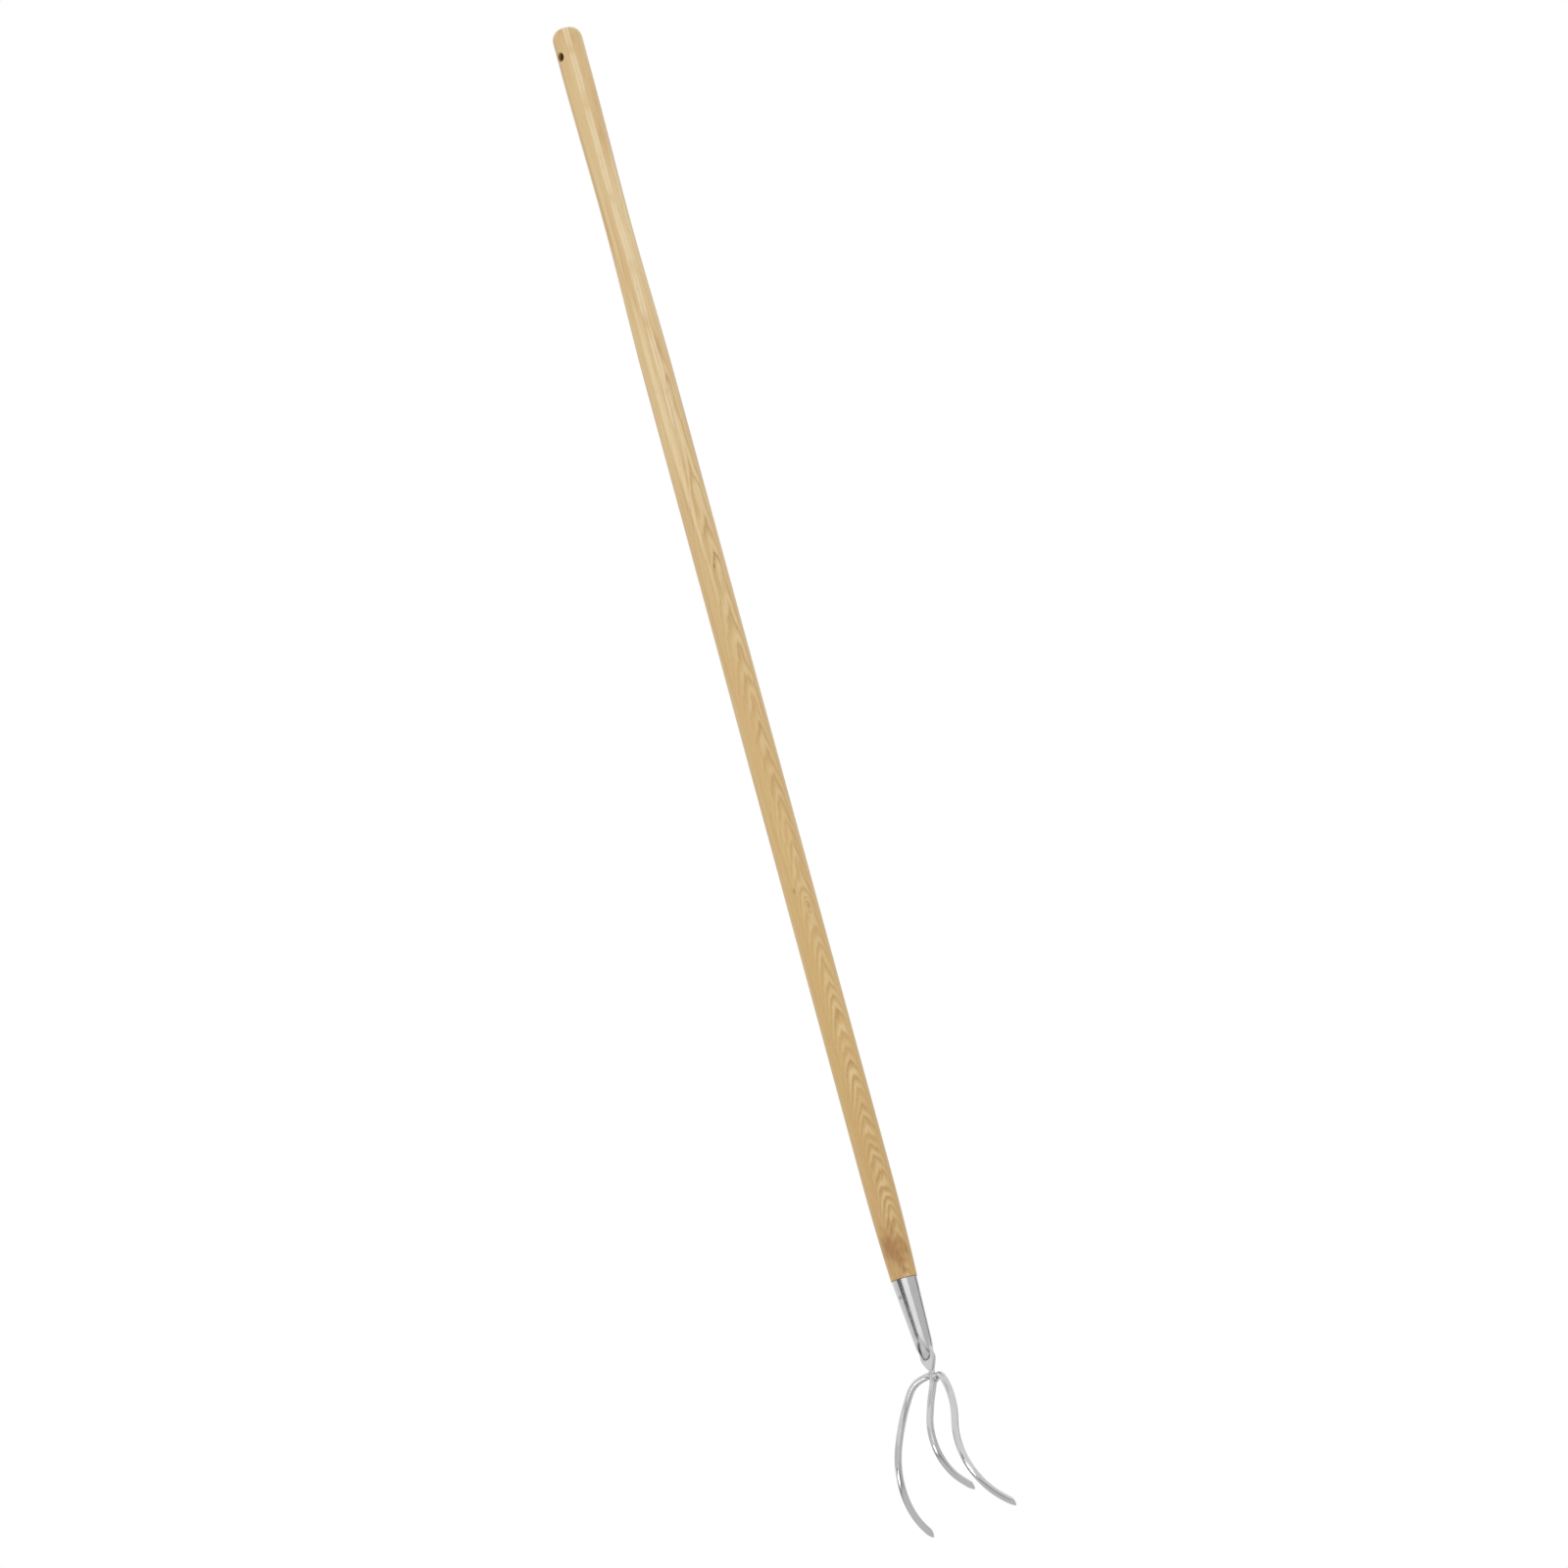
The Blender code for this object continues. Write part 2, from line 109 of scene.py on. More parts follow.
class Field:
    """A number that varies over a surface, on which arithmetic adds Math nodes."""

    def __init__(self, nodes: "Nodes", socket: bpy.types.NodeSocket) -> None:
        """Wrap a socket of a node tree."""
        self.nodes = nodes
        self.socket = socket

    def _math(self, operation: str, *values: "Number") -> "Field":
        """A Math node on values that may be numbers or fields."""
        inputs = dict(enumerate(values))
        return self.nodes.field("ShaderNodeMath", {"operation": operation}, inputs)

    def __add__(self, other: "Number") -> "Field":
        """This plus other."""
        return self._math("ADD", self, other)

    __radd__ = __add__

    def __sub__(self, other: "Number") -> "Field":
        """This less other."""
        return self._math("SUBTRACT", self, other)

    def __rsub__(self, other: "Number") -> "Field":
        """Other less this."""
        return self._math("SUBTRACT", other, self)

    def __mul__(self, other: "Number") -> "Field":
        """This times other."""
        return self._math("MULTIPLY", self, other)

    __rmul__ = __mul__

    def __truediv__(self, other: "Number") -> "Field":
        """This divided by other."""
        return self._math("DIVIDE", self, other)

    def __pow__(self, exponent: float) -> "Field":
        """This to the power of exponent."""
        return self._math("POWER", self, exponent)

    def fraction(self) -> "Field":
        """The part after the point."""
        return self._math("FRACT", self)

    def size(self) -> "Field":
        """The value without its sign."""
        return self._math("ABSOLUTE", self)

    def root(self) -> "Field":
        """The square root."""
        return self._math("SQRT", self)

    def at_least(self, other: "Number") -> "Field":
        """The larger of this and other."""
        return self._math("MAXIMUM", self, other)

    def rise(self, start: float, end: float) -> "Field":
        """A smooth step between two values of this field.

        Args:
            start: Where the result is 0.
            end: Where the result is 1; below start for a falling step.

        Returns:
            A field from 0 to 1.
        """
        settings = {"interpolation_type": "SMOOTHSTEP"}
        low, high = min(start, end), max(start, end)
        first, last = (0.0, 1.0) if start < end else (1.0, 0.0)
        inputs = {"Value": self, "From Min": low, "From Max": high, "To Min": first, "To Max": last}
        return self.nodes.field("ShaderNodeMapRange", settings, inputs)


Number = Union[float, Field]


def length(*parts: Field) -> Field:
    """The length of a way that is given by its parts."""
    return sum((part * part for part in parts[1:]), parts[0] * parts[0]).root()


class Nodes:
    """A material's node tree, built by expressions."""

    def __init__(self, tree: bpy.types.NodeTree) -> None:
        """Start from an empty tree."""
        self.tree = tree
        tree.nodes.clear()

    def node(
        self,
        kind: str,
        settings: dict[str, Any] | None = None,
        inputs: dict[Any, Any] | None = None,
    ) -> bpy.types.Node:
        """Add a node.

        Args:
            kind: Its type.
            settings: Its properties, which are set first.
            inputs: Values, fields or sockets for its sockets, by name or place.

        Returns:
            The node.
        """
        made = self.tree.nodes.new(kind)
        for name, value in (settings or {}).items():
            setattr(made, name, value)
        for name, value in (inputs or {}).items():
            if isinstance(value, Field):
                self.tree.links.new(value.socket, made.inputs[name])
            elif isinstance(value, bpy.types.NodeSocket):
                self.tree.links.new(value, made.inputs[name])
            else:
                made.inputs[name].default_value = value
        return made

    def field(
        self,
        kind: str,
        settings: dict[str, Any] | None = None,
        inputs: dict[Any, Any] | None = None,
        output: Any = 0,
    ) -> Field:
        """A new node's output as a field."""
        return Field(self, self.node(kind, settings, inputs).outputs[output])

    def place(self) -> tuple[Field, Field, Field]:
        """Where a point of the piece is, in metres.

        Returns:
            Its x, y and z.
        """
        place = self.node("ShaderNodeTexCoord").outputs["Object"]
        split = self.node("ShaderNodeSeparateXYZ", None, {0: place}).outputs
        return Field(self, split[0]), Field(self, split[1]), Field(self, split[2])

    def noise(
        self,
        place: Sequence[Number],
        across: float,
        along: float,
        detail: float = 2.0,
        roughness: float = 0.5,
    ) -> Field:
        """Smooth noise, about -0.5 to 0.5.

        Args:
            place: Two coordinates across the piece and one along it.
            across: Patches in a metre across.
            along: Patches in a metre along.
            detail: Octaves.
            roughness: Weight of the finer octaves.

        Returns:
            The noise as a field.
        """
        scaled = {0: place[0] * across, 1: place[1] * across, 2: place[2] * along}
        vector = self.node("ShaderNodeCombineXYZ", None, scaled).outputs[0]
        inputs = {"Vector": vector, "Scale": 1.0, "Detail": detail, "Roughness": roughness}
        return self.field("ShaderNodeTexNoise", {"noise_dimensions": "3D"}, inputs) - 0.5

    def blend(self, first: Any, second: Any, share: Number) -> bpy.types.NodeSocket:
        """A colour between two colours.

        Args:
            first: Colour or colour socket at share 0.
            second: Colour or colour socket at share 1.
            share: The share of the second.

        Returns:
            The mixed colour's socket.
        """
        def rgba(colour: Any) -> Any:
            """A colour with alpha, or a socket as it is."""
            return colour if isinstance(colour, bpy.types.NodeSocket) else (*colour, 1.0)

        settings = {"data_type": "RGBA", "blend_type": "MIX"}
        mixer = self.node("ShaderNodeMix", settings, {0: share, 6: rgba(first), 7: rgba(second)})
        return mixer.outputs[2]

    def bump(self, height: Field, depth: float, strength: float) -> bpy.types.NodeSocket:
        """A normal from a height field, at a depth in metres for a height of 1."""
        inputs = {"Height": height, "Distance": depth, "Strength": strength}
        return self.node("ShaderNodeBump", None, inputs).outputs[0]

    def finish(self, shader: bpy.types.Node) -> None:
        """Send a shader to the material's output."""
        self.node("ShaderNodeOutputMaterial", None, {0: shader.outputs[0]})


def new_material(name: str) -> tuple[bpy.types.Material, Nodes]:
    """Start a material.

    Args:
        name: Its name.

    Returns:
        The material and its nodes, which are empty.
    """
    material = bpy.data.materials.new(name)
    material.use_nodes = True
    return material, Nodes(material.node_tree)


# Finishes


class Slot(Enum):
    """The record's material slots."""

    ASH = "ash"
    STEEL = "polished_steel"
    RIVET = "rivet_steel"
    WELD = "weld_steel"


@dataclass(frozen=True)
class Mark:
    """A dark mark: its distance from the butt end and to the right, half sizes and depth."""

    down: float
    across: float
    half_height: float
    half_width: float
    depth: float


@dataclass(frozen=True)
class Wave:
    """A waviness of the growth rings: patches in a metre across and along, octaves and height in rings."""

    across: float
    along: float
    detail: float
    height: float


@dataclass(frozen=True)
class AshFinish:
    """Pale ash with a flame figure down one side, under clear satin lacquer."""

    silk_white: Colour = srgb(247, 227, 188)
    cream: Colour = srgb(243, 219, 171)
    pale: Colour = srgb(228, 197, 143)
    golden: Colour = srgb(217, 180, 114)
    warm: Colour = srgb(219, 177, 118)
    brown: Colour = srgb(196, 155, 92)
    line: Colour = srgb(168, 124, 64)
    pore: Colour = srgb(140, 100, 50)
    stain: Colour = srgb(158, 103, 40)
    # Dark brown of the ragged band above the socket's mouth and of the painted shade in the hanging hole
    seam_and_hole_shade: Colour = srgb(108, 66, 26)
    flame_side: float = CAMERA_SIDE + math.radians(24)
    rings_at_top: float = 270.0
    rings_at_foot: float = 330.0
    flames: float = 23.0
    flame_growth: float = 2.6
    flame_drift: float = 0.003
    flame_slope: float = 72.0
    flame_rounding: float = 0.0000003
    surface: float = 0.0152
    waves: tuple[Wave, ...] = (
        Wave(30.0, 6.5, 1.0, 2.4),
        Wave(60.0, 22.0, 1.0, 1.9),
        Wave(150.0, 38.0, 2.0, 0.85),
        Wave(900.0, 60.0, 1.0, 0.40),
    )
    knot_down: float = 0.914
    knot_across: float = 0.0055
    knot_half_height: float = 0.013
    knot_half_width: float = 0.0050
    knot_rings: float = 1.7
    marks: tuple[Mark, ...] = (
        Mark(0.914, 0.0055, 0.0042, 0.0016, 0.5),
        Mark(0.897, -0.0045, 0.0040, 0.0011, 0.6),
        Mark(0.566, 0.0036, 0.0026, 0.0009, 0.8),
    )
    streaks_across: float = 420.0
    bands_across: float = 150.0
    streak_stretch: float = 0.013
    streak_drift: float = 0.017
    silk_drift: float = 0.0068
    silk_across: float = -0.0012
    silk_wander: float = 0.003
    silk_gap: float = 0.0035
    stain_side: float = CAMERA_SIDE - math.radians(15)
    stain_radius: float = 0.0135
    stain_height: float = 0.0295
    stain_half_width: float = 0.0110
    stain_half_height: float = 0.0225
    seam_height: float = 0.0013
    seam_raggedness: float = 0.0024
    # How far from the hole's axis the painted shade in the hanging hole reaches, and its soft edge
    hole_shade_radius: float = 0.0052
    hole_shade_edge: float = 0.0009
    roughness: float = 0.42
    pore_depth: float = 0.00012

    def along_side(self, x: Field, y: Field, side: float) -> tuple[Field, Field]:
        """Distances out towards a side of the handle and to the right of it."""
        out = x * math.cos(side) + y * math.sin(side)
        return out, y * math.cos(side) - x * math.sin(side)

    def beside_flames(self, x: Field, y: Field, down: Field) -> tuple[Field, Field]:
        """Distances out towards the flames' side and to the right of their line, which drifts left."""
        out, aside = self.along_side(x, y, self.flame_side)
        return out, aside + down.rise(0.75, 1.25) * self.flame_drift

    def rings(self, nodes: Nodes, x: Field, y: Field, down: Field) -> Field:
        """How many growth rings lie between the pith and a point.

        Args:
            nodes: The material's nodes.
            x: Across.
            y: Across.
            down: Distance from the butt end.

        Returns:
            The count, with its waves.
        """
        out, aside = self.beside_flames(x, y, down)
        flames = (down.at_least(0.0) ** self.flame_growth) * self.flames
        tight = down.rise(0.55, 1.25) * (self.rings_at_foot - self.rings_at_top) + self.rings_at_top
        point = (aside * aside + self.flame_rounding).root() * self.flame_slope
        count = (out - self.surface) * tight + flames - point + self.knot(x, y, down) * self.knot_rings
        for wave in self.waves:
            count = count + nodes.noise((x, y, down), wave.across, wave.along, wave.detail) * wave.height
        return count

    def knot(self, x: Field, y: Field, down: Field) -> Field:
        """A small knot's swirl in the flames.

        Args:
            x: Across.
            y: Across.
            down: Distance from the butt end.

        Returns:
            A field from 0 outside it to 1 in its heart.
        """
        out, right = self.along_side(x, y, CAMERA_SIDE)
        high = (down - self.knot_down) / self.knot_half_height
        wide = (right - self.knot_across) / self.knot_half_width
        return length(high, wide).rise(1.0, 0.0) * out.rise(0.0, 0.005)

    def streaks(self, nodes: Nodes, x: Field, y: Field, down: Field, across: float) -> Field:
        """Long streaks that drift a little to the camera's right on the way down.

        Args:
            nodes: The material's nodes.
            x: Across.
            y: Across.
            down: Distance from the butt end.
            across: Streaks in a metre.

        Returns:
            Noise that is drawn out along the handle.
        """
        slip = down * self.streak_drift
        place = x + slip * math.sin(CAMERA_SIDE), y - slip * math.cos(CAMERA_SIDE), down
        return nodes.noise(place, across, across * self.streak_stretch, 2.0, 0.55)

    def silk(self, nodes: Nodes, x: Field, y: Field, down: Field) -> Field:
        """Two thin bright lines in a paler band that run down the upper handle.

        Args:
            nodes: The material's nodes.
            x: Across.
            y: Across.
            down: Distance from the butt end.

        Returns:
            A field from 0 to 1, brightest on the lines.
        """
        out, right = self.along_side(x, y, CAMERA_SIDE)
        wander = nodes.noise((down, 0.0, 0.0), 9.0, 0.0, 1.0) * self.silk_wander
        track = right - down * self.silk_drift - self.silk_across + wander
        lines = track.size().rise(0.0014, 0.0002) + (track - self.silk_gap).size().rise(0.0012, 0.0001)
        lines = lines.at_least((track - 0.0015).size().rise(0.0046, 0.0010) * 0.5)
        broken = nodes.noise((down, 0.1, 0.0), 30.0, 0.0).rise(-0.25, 0.05)
        return lines * broken * out.rise(0.0, 0.006) * down.rise(0.47, 0.40)

    def make(self) -> bpy.types.Material:
        """Lay the wood's tones over each other, from the palest ground to the painted shade in the hanging
        hole.

        Returns:
            The material.
        """
        material, nodes = new_material("ash_satin")
        x, y, z = nodes.place()
        down = BUTT_Z - z
        rings = self.rings(nodes, x, y, down)
        phase = rings.fraction()
        strong = nodes.noise((rings - phase, 0.0, down), 1.73, 3.0, 1.0).rise(-0.24, 0.22)
        late = phase.rise(0.0, 0.06) * phase.rise(0.44, 0.08)
        glow = phase.rise(0.40, 0.66) * phase.rise(1.0, 0.80)
        _, aside = self.beside_flames(x, y, down)
        figured = (down - aside.size() * 6.0).rise(0.18, 0.46)
        streak = self.streaks(nodes, x, y, down, self.streaks_across)
        band = self.streaks(nodes, x, y, down, self.bands_across)
        fleck = nodes.noise((x, y, down), 1700.0, 90.0, 2.0, 0.6)
        cloud = nodes.noise((x, y, z), 60.0, 9.0)
        patchy = nodes.noise((x, y, down), 40.0, 17.0, 1.0).rise(-0.14, 0.12)
        lower = down.rise(0.50, 0.85)
        upper = down.rise(0.60, 0.30)
        near = aside.size().rise(0.0095, 0.0015) * (patchy * 0.5 + 0.5)
        clear = near * (0.90 - lower * 0.12) + 0.26 - lower * 0.16
        above_seam = z - MOUTH_Z + nodes.noise((x, y, z), 700.0, 90.0) * self.seam_raggedness
        # Masks for the painted shade in the hanging hole: near its axis, and deeper in
        hole_shade = length(x, z).rise(self.hole_shade_radius, self.hole_shade_radius - self.hole_shade_edge)
        deeper_in_hole = y.size().rise(0.0138, 0.0095)
        layers = (
            (self.golden, down.rise(0.15, 1.10)),
            (self.brown, down.rise(0.95, 1.28) * 0.45),
            (self.warm, cloud.rise(-0.06, 0.22) * (upper * 0.3 + 0.4)),
            (self.brown, band.rise(-0.02, -0.26) * (upper * 0.40 + 0.40)),
            (self.cream, band.rise(0.03, 0.24) * down.rise(1.15, 0.40) * 0.80),
            (self.cream, glow * (strong * 0.45 + 0.22) * figured * clear),
            (self.line, late * (strong * 0.50 + 0.16) * (figured * 0.7 + 0.3) * clear),
            (self.cream, streak.rise(0.07, 0.24) * (upper * 0.14 + 0.22)),
            (self.line, streak.rise(-0.09, -0.27) * (upper * 0.10 + 0.20)),
            (self.silk_white, self.silk(nodes, x, y, down) * 0.90),
            (self.pore, fleck.rise(0.09, 0.26) * (late * 0.30 + 0.26)),
            (self.stain, self.marked(x, y, down)),
            (self.stain, self.stained(nodes, x, y, z) * 0.70),
            (self.seam_and_hole_shade, above_seam.rise(self.seam_height, 0.0003) * 0.35),
            # Painted shade inside the hanging hole, darker deeper in
            (self.seam_and_hole_shade, hole_shade * (deeper_in_hole * 0.50 + 0.42)),
        )
        tone = self.pale
        for colour, share in layers:
            tone = nodes.blend(tone, colour, share)
        height = streak * 0.5 - fleck * 0.5 - late * 0.25
        shader = nodes.node(
            "ShaderNodeBsdfPrincipled",
            None,
            {
                "Base Color": tone,
                "Roughness": self.roughness + streak * 0.10 + fleck * 0.12,
                "IOR": 1.48,
                "Coat Weight": 0.22,
                "Coat Roughness": 0.24,
                "Normal": nodes.bump(height, self.pore_depth, 0.6),
            },
        )
        nodes.finish(shader)
        return material

    def marked(self, x: Field, y: Field, down: Field) -> Field:
        """The knot's dark heart and the dark specks.

        Args:
            x: Across.
            y: Across.
            down: Distance from the butt end.

        Returns:
            A field from 0 to 1.
        """
        out, right = self.along_side(x, y, CAMERA_SIDE)
        found = 0.0
        for mark in self.marks:
            high = (down - mark.down) / mark.half_height
            wide = (right - mark.across) / mark.half_width
            dark = length(high, wide).rise(1.3, 0.2) * out.rise(0.0, 0.004) * mark.depth
            found = dark.at_least(found)
        return found

    def stained(self, nodes: Nodes, x: Field, y: Field, z: Field) -> Field:
        """A brown patch low on the handle.

        Args:
            nodes: The material's nodes.
            x: Across.
            y: Across.
            z: Height.

        Returns:
            A field from 0 to 1.
        """
        dx = (x - self.stain_radius * math.cos(self.stain_side)) / self.stain_half_width
        dy = (y - self.stain_radius * math.sin(self.stain_side)) / self.stain_half_width
        dz = (z - (MOUTH_Z + self.stain_height)) / self.stain_half_height
        ragged = nodes.noise((x, y, z), 130.0, 45.0, 2.0, 0.6)
        stripes = nodes.noise((x, y, z), 480.0, 14.0, 1.0)
        return (length(dx, dy, dz) + ragged * 2.2 + stripes * 0.7).rise(1.55, 0.35)


@dataclass(frozen=True)
class SteelFinish:
    """Stainless steel with faint polishing marks."""

    name: str = "steel_polished"
    colour: Colour = (0.60, 0.60, 0.605)
    shade: Colour = (0.54, 0.54, 0.545)
    roughness: float = 0.17
    wave_depth: float = 0.00012
    mark_depth: float = 0.00001
    # How strongly painted shade and a painted dark reflection darken the piece, and their grey
    painted_dark: float = 0.0
    painted_dark_grey: Colour = (0.09, 0.09, 0.095)

    def make(self) -> bpy.types.Material:
        """Polish the steel, and darken it where a piece carries painted shade and a painted dark reflection.

        Returns:
            The material.
        """
        material, nodes = new_material(self.name)
        place = nodes.place()
        fine = nodes.noise(place, 2600.0, 130.0, 2.0, 0.6)
        cloud = nodes.noise(place, 90.0, 60.0, 3.0, 0.55)
        wave = nodes.noise(place, 150.0, 70.0, 1.0)
        dull = cloud.rise(-0.05, 0.30) * 0.6 + fine.rise(0.05, 0.3) * 0.3
        tone = nodes.blend(self.colour, self.shade, dull)
        # Painted shade along the pressed line round the socket's nose and a painted dark reflection down its
        # left, read from the piece's attribute
        if self.painted_dark > 0:
            near = nodes.field("ShaderNodeAttribute", {"attribute_name": "painted_dark"}, None, "Fac")
            tone = nodes.blend(tone, self.painted_dark_grey, near * self.painted_dark)
        height = wave * self.wave_depth + fine * self.mark_depth
        shader = nodes.node(
            "ShaderNodeBsdfPrincipled",
            None,
            {
                "Base Color": tone,
                "Metallic": 1.0,
                "Roughness": self.roughness + fine * 0.12 + cloud * 0.10,
                "Normal": nodes.bump(height, 1.0, 1.0),
            },
        )
        nodes.finish(shader)
        return material


class Finishes:
    """The tool's finishes, by slot, and the socket's own polish, which carries painted shade and a painted
    dark reflection on its nose.
    """

    def __init__(self) -> None:
        """Make every finish once."""
        self.made = {
            Slot.ASH: AshFinish().make(),
            Slot.STEEL: SteelFinish().make(),
            Slot.RIVET: SteelFinish("steel_rivet", (0.36, 0.36, 0.37), (0.22, 0.22, 0.22), 0.38).make(),
            Slot.WELD: SteelFinish("steel_weld", (0.56, 0.56, 0.57), (0.40, 0.39, 0.38), 0.26).make(),
        }
        # The socket's polish takes the painted shade and painted dark reflection that its nose carries
        self.socket = SteelFinish("steel_socket", painted_dark=0.85).make()

    def dress(self, piece: bpy.types.Object, slot: Slot, own: bpy.types.Material | None = None) -> None:
        """Give a piece its finish.

        Args:
            piece: The piece.
            slot: Its slot.
            own: A finish of its own, if it isn't the slot's.
        """
        piece.data.materials.clear()
        piece.data.materials.append(own or self.made[slot])


# Shapes


def to_object(name: str, shape: bmesh.types.BMesh) -> bpy.types.Object:
    """A smooth-shaded object from a bmesh, with merged doubles and faces pointing out.

    Args:
        name: The piece's name.
        shape: The bmesh, which is freed.

    Returns:
        The object, at the origin.
    """
    bmesh.ops.remove_doubles(shape, verts=shape.verts, dist=MERGE_DISTANCE)
    bmesh.ops.recalc_face_normals(shape, faces=shape.faces)
    mesh = bpy.data.meshes.new(name)
    shape.to_mesh(mesh)
    shape.free()
    mesh.shade_smooth()
    mesh.set_sharp_from_angle(angle=SHARP_ANGLE)
    piece = bpy.data.objects.new(name, mesh)
    bpy.context.scene.collection.objects.link(piece)
    return piece


def spun(
    profile: Sequence[tuple[float, float]],
    steps: int,
    turn: Matrix | None = None,
) -> bmesh.types.BMesh:
    """A shape turned about Z from (radius, height) points.

    Args:
        profile: The points, from one pole or rim to the other.
        steps: Sides of the round.
        turn: Where the turned shape is then placed.

    Returns:
        The bmesh.
    """
    shape = bmesh.new()
    verts = [shape.verts.new((radius, 0.0, height)) for radius, height in profile]
    edges = [shape.edges.new(pair) for pair in zip(verts, verts[1:])]
    bmesh.ops.spin(
        shape,
        geom=verts + edges,
        cent=(0.0, 0.0, 0.0),
        axis=(0.0, 0.0, 1.0),
        angle=math.tau,
        steps=steps,
        use_merge=True,
    )
    bmesh.ops.remove_doubles(shape, verts=shape.verts, dist=MERGE_DISTANCE)
    if turn is not None:
        bmesh.ops.transform(shape, matrix=turn, verts=shape.verts)
    return shape


def mirrored(half: list[tuple[float, float]]) -> list[tuple[float, float]]:
    """A half outline of (radius, height) points, with its mirror image below it."""
    return half + [(radius, -height) for radius, height in reversed(half)]


def carve(piece: bpy.types.Object, cutter: bpy.types.Object) -> None:
    """Cut a shape out of a piece for good and delete it.

    Args:
        piece: What is cut.
        cutter: The shape.
    """
    boolean = piece.modifiers.new(cutter.name, "BOOLEAN")
    boolean.operation = "DIFFERENCE"
    boolean.solver = "EXACT"
    boolean.object = cutter
    graph = bpy.context.evaluated_depsgraph_get()
    carved = bpy.data.meshes.new_from_object(piece.evaluated_get(graph))
    piece.modifiers.clear()
    old = piece.data
    piece.data = carved
    bpy.data.meshes.remove(old)
    carved.name = piece.name
    bpy.data.objects.remove(cutter, do_unlink=True)
    carved.shade_smooth()
    carved.set_sharp_from_angle(angle=SHARP_ANGLE)


@dataclass(frozen=True)
class Station:
    """One section of a swept bar: its middle, direction and half sizes."""

    middle: Vector
    along: Vector
    half_width: float
    half_depth: float


def swept(stations: Sequence[Station], sides: int) -> bmesh.types.BMesh:
    """A closed bar through its stations, with a pole at each end.

    Args:
        stations: Sections from end to end, the first of them across Y.
        sides: Sides of the round.

    Returns:
        The bmesh.
    """
    shape = bmesh.new()
    across = Vector((0.0, 1.0, 0.0))
    placed = None
    for station in stations:
        across = (across - station.along * across.dot(station.along)).normalized()
        other = station.along.cross(across)
        turn = Matrix((across * station.half_width, other * station.half_depth, station.along))
        matrix = Matrix.Translation(station.middle) @ turn.transposed().to_4x4()
        if placed is None:
            made = bmesh.ops.create_circle(shape, cap_ends=False, radius=1.0, segments=sides, matrix=matrix)
            ring = made["verts"]
            first_ring = list(ring)
        else:
            ring = drawn(shape, ring)
            bmesh.ops.transform(shape, matrix=matrix @ placed.inverted(), verts=ring)
        placed = matrix
    for end, station in ((first_ring, stations[0]), (ring, stations[-1])):
        bmesh.ops.pointmerge(shape, verts=drawn(shape, end), merge_co=station.middle)
    return shape


def drawn(shape: bmesh.types.BMesh, ring: Sequence[bmesh.types.BMVert]) -> list[bmesh.types.BMVert]:
    """A new ring drawn out of a closed ring, in the same order.

    Args:
        shape: The bmesh.
        ring: The ring's vertices, in order round it.

    Returns:
        The new ring's vertices.
    """
    pairs = zip(ring, list(ring[1:]) + [ring[0]])
    made = bmesh.ops.extrude_edge_only(shape, edges=[shape.edges.get(pair) for pair in pairs])
    fresh = {item for item in made["geom"] if isinstance(item, bmesh.types.BMVert)}
    partner = {}
    for vert in ring:
        for edge in vert.link_edges:
            if edge.other_vert(vert) in fresh:
                partner[vert] = edge.other_vert(vert)
    return [partner[vert] for vert in ring]


def adopt(piece: bpy.types.Object, node: str) -> None:
    """Let a piece ride on the tool's body and stand for a CAD node.

    Args:
        piece: The piece.
        node: The node's name.
    """
    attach(piece, BODY)
    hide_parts(node)
    LOG.info("%s stands for %s: %d faces", piece.name, node, len(piece.data.polygons))


# Sub-assemblies


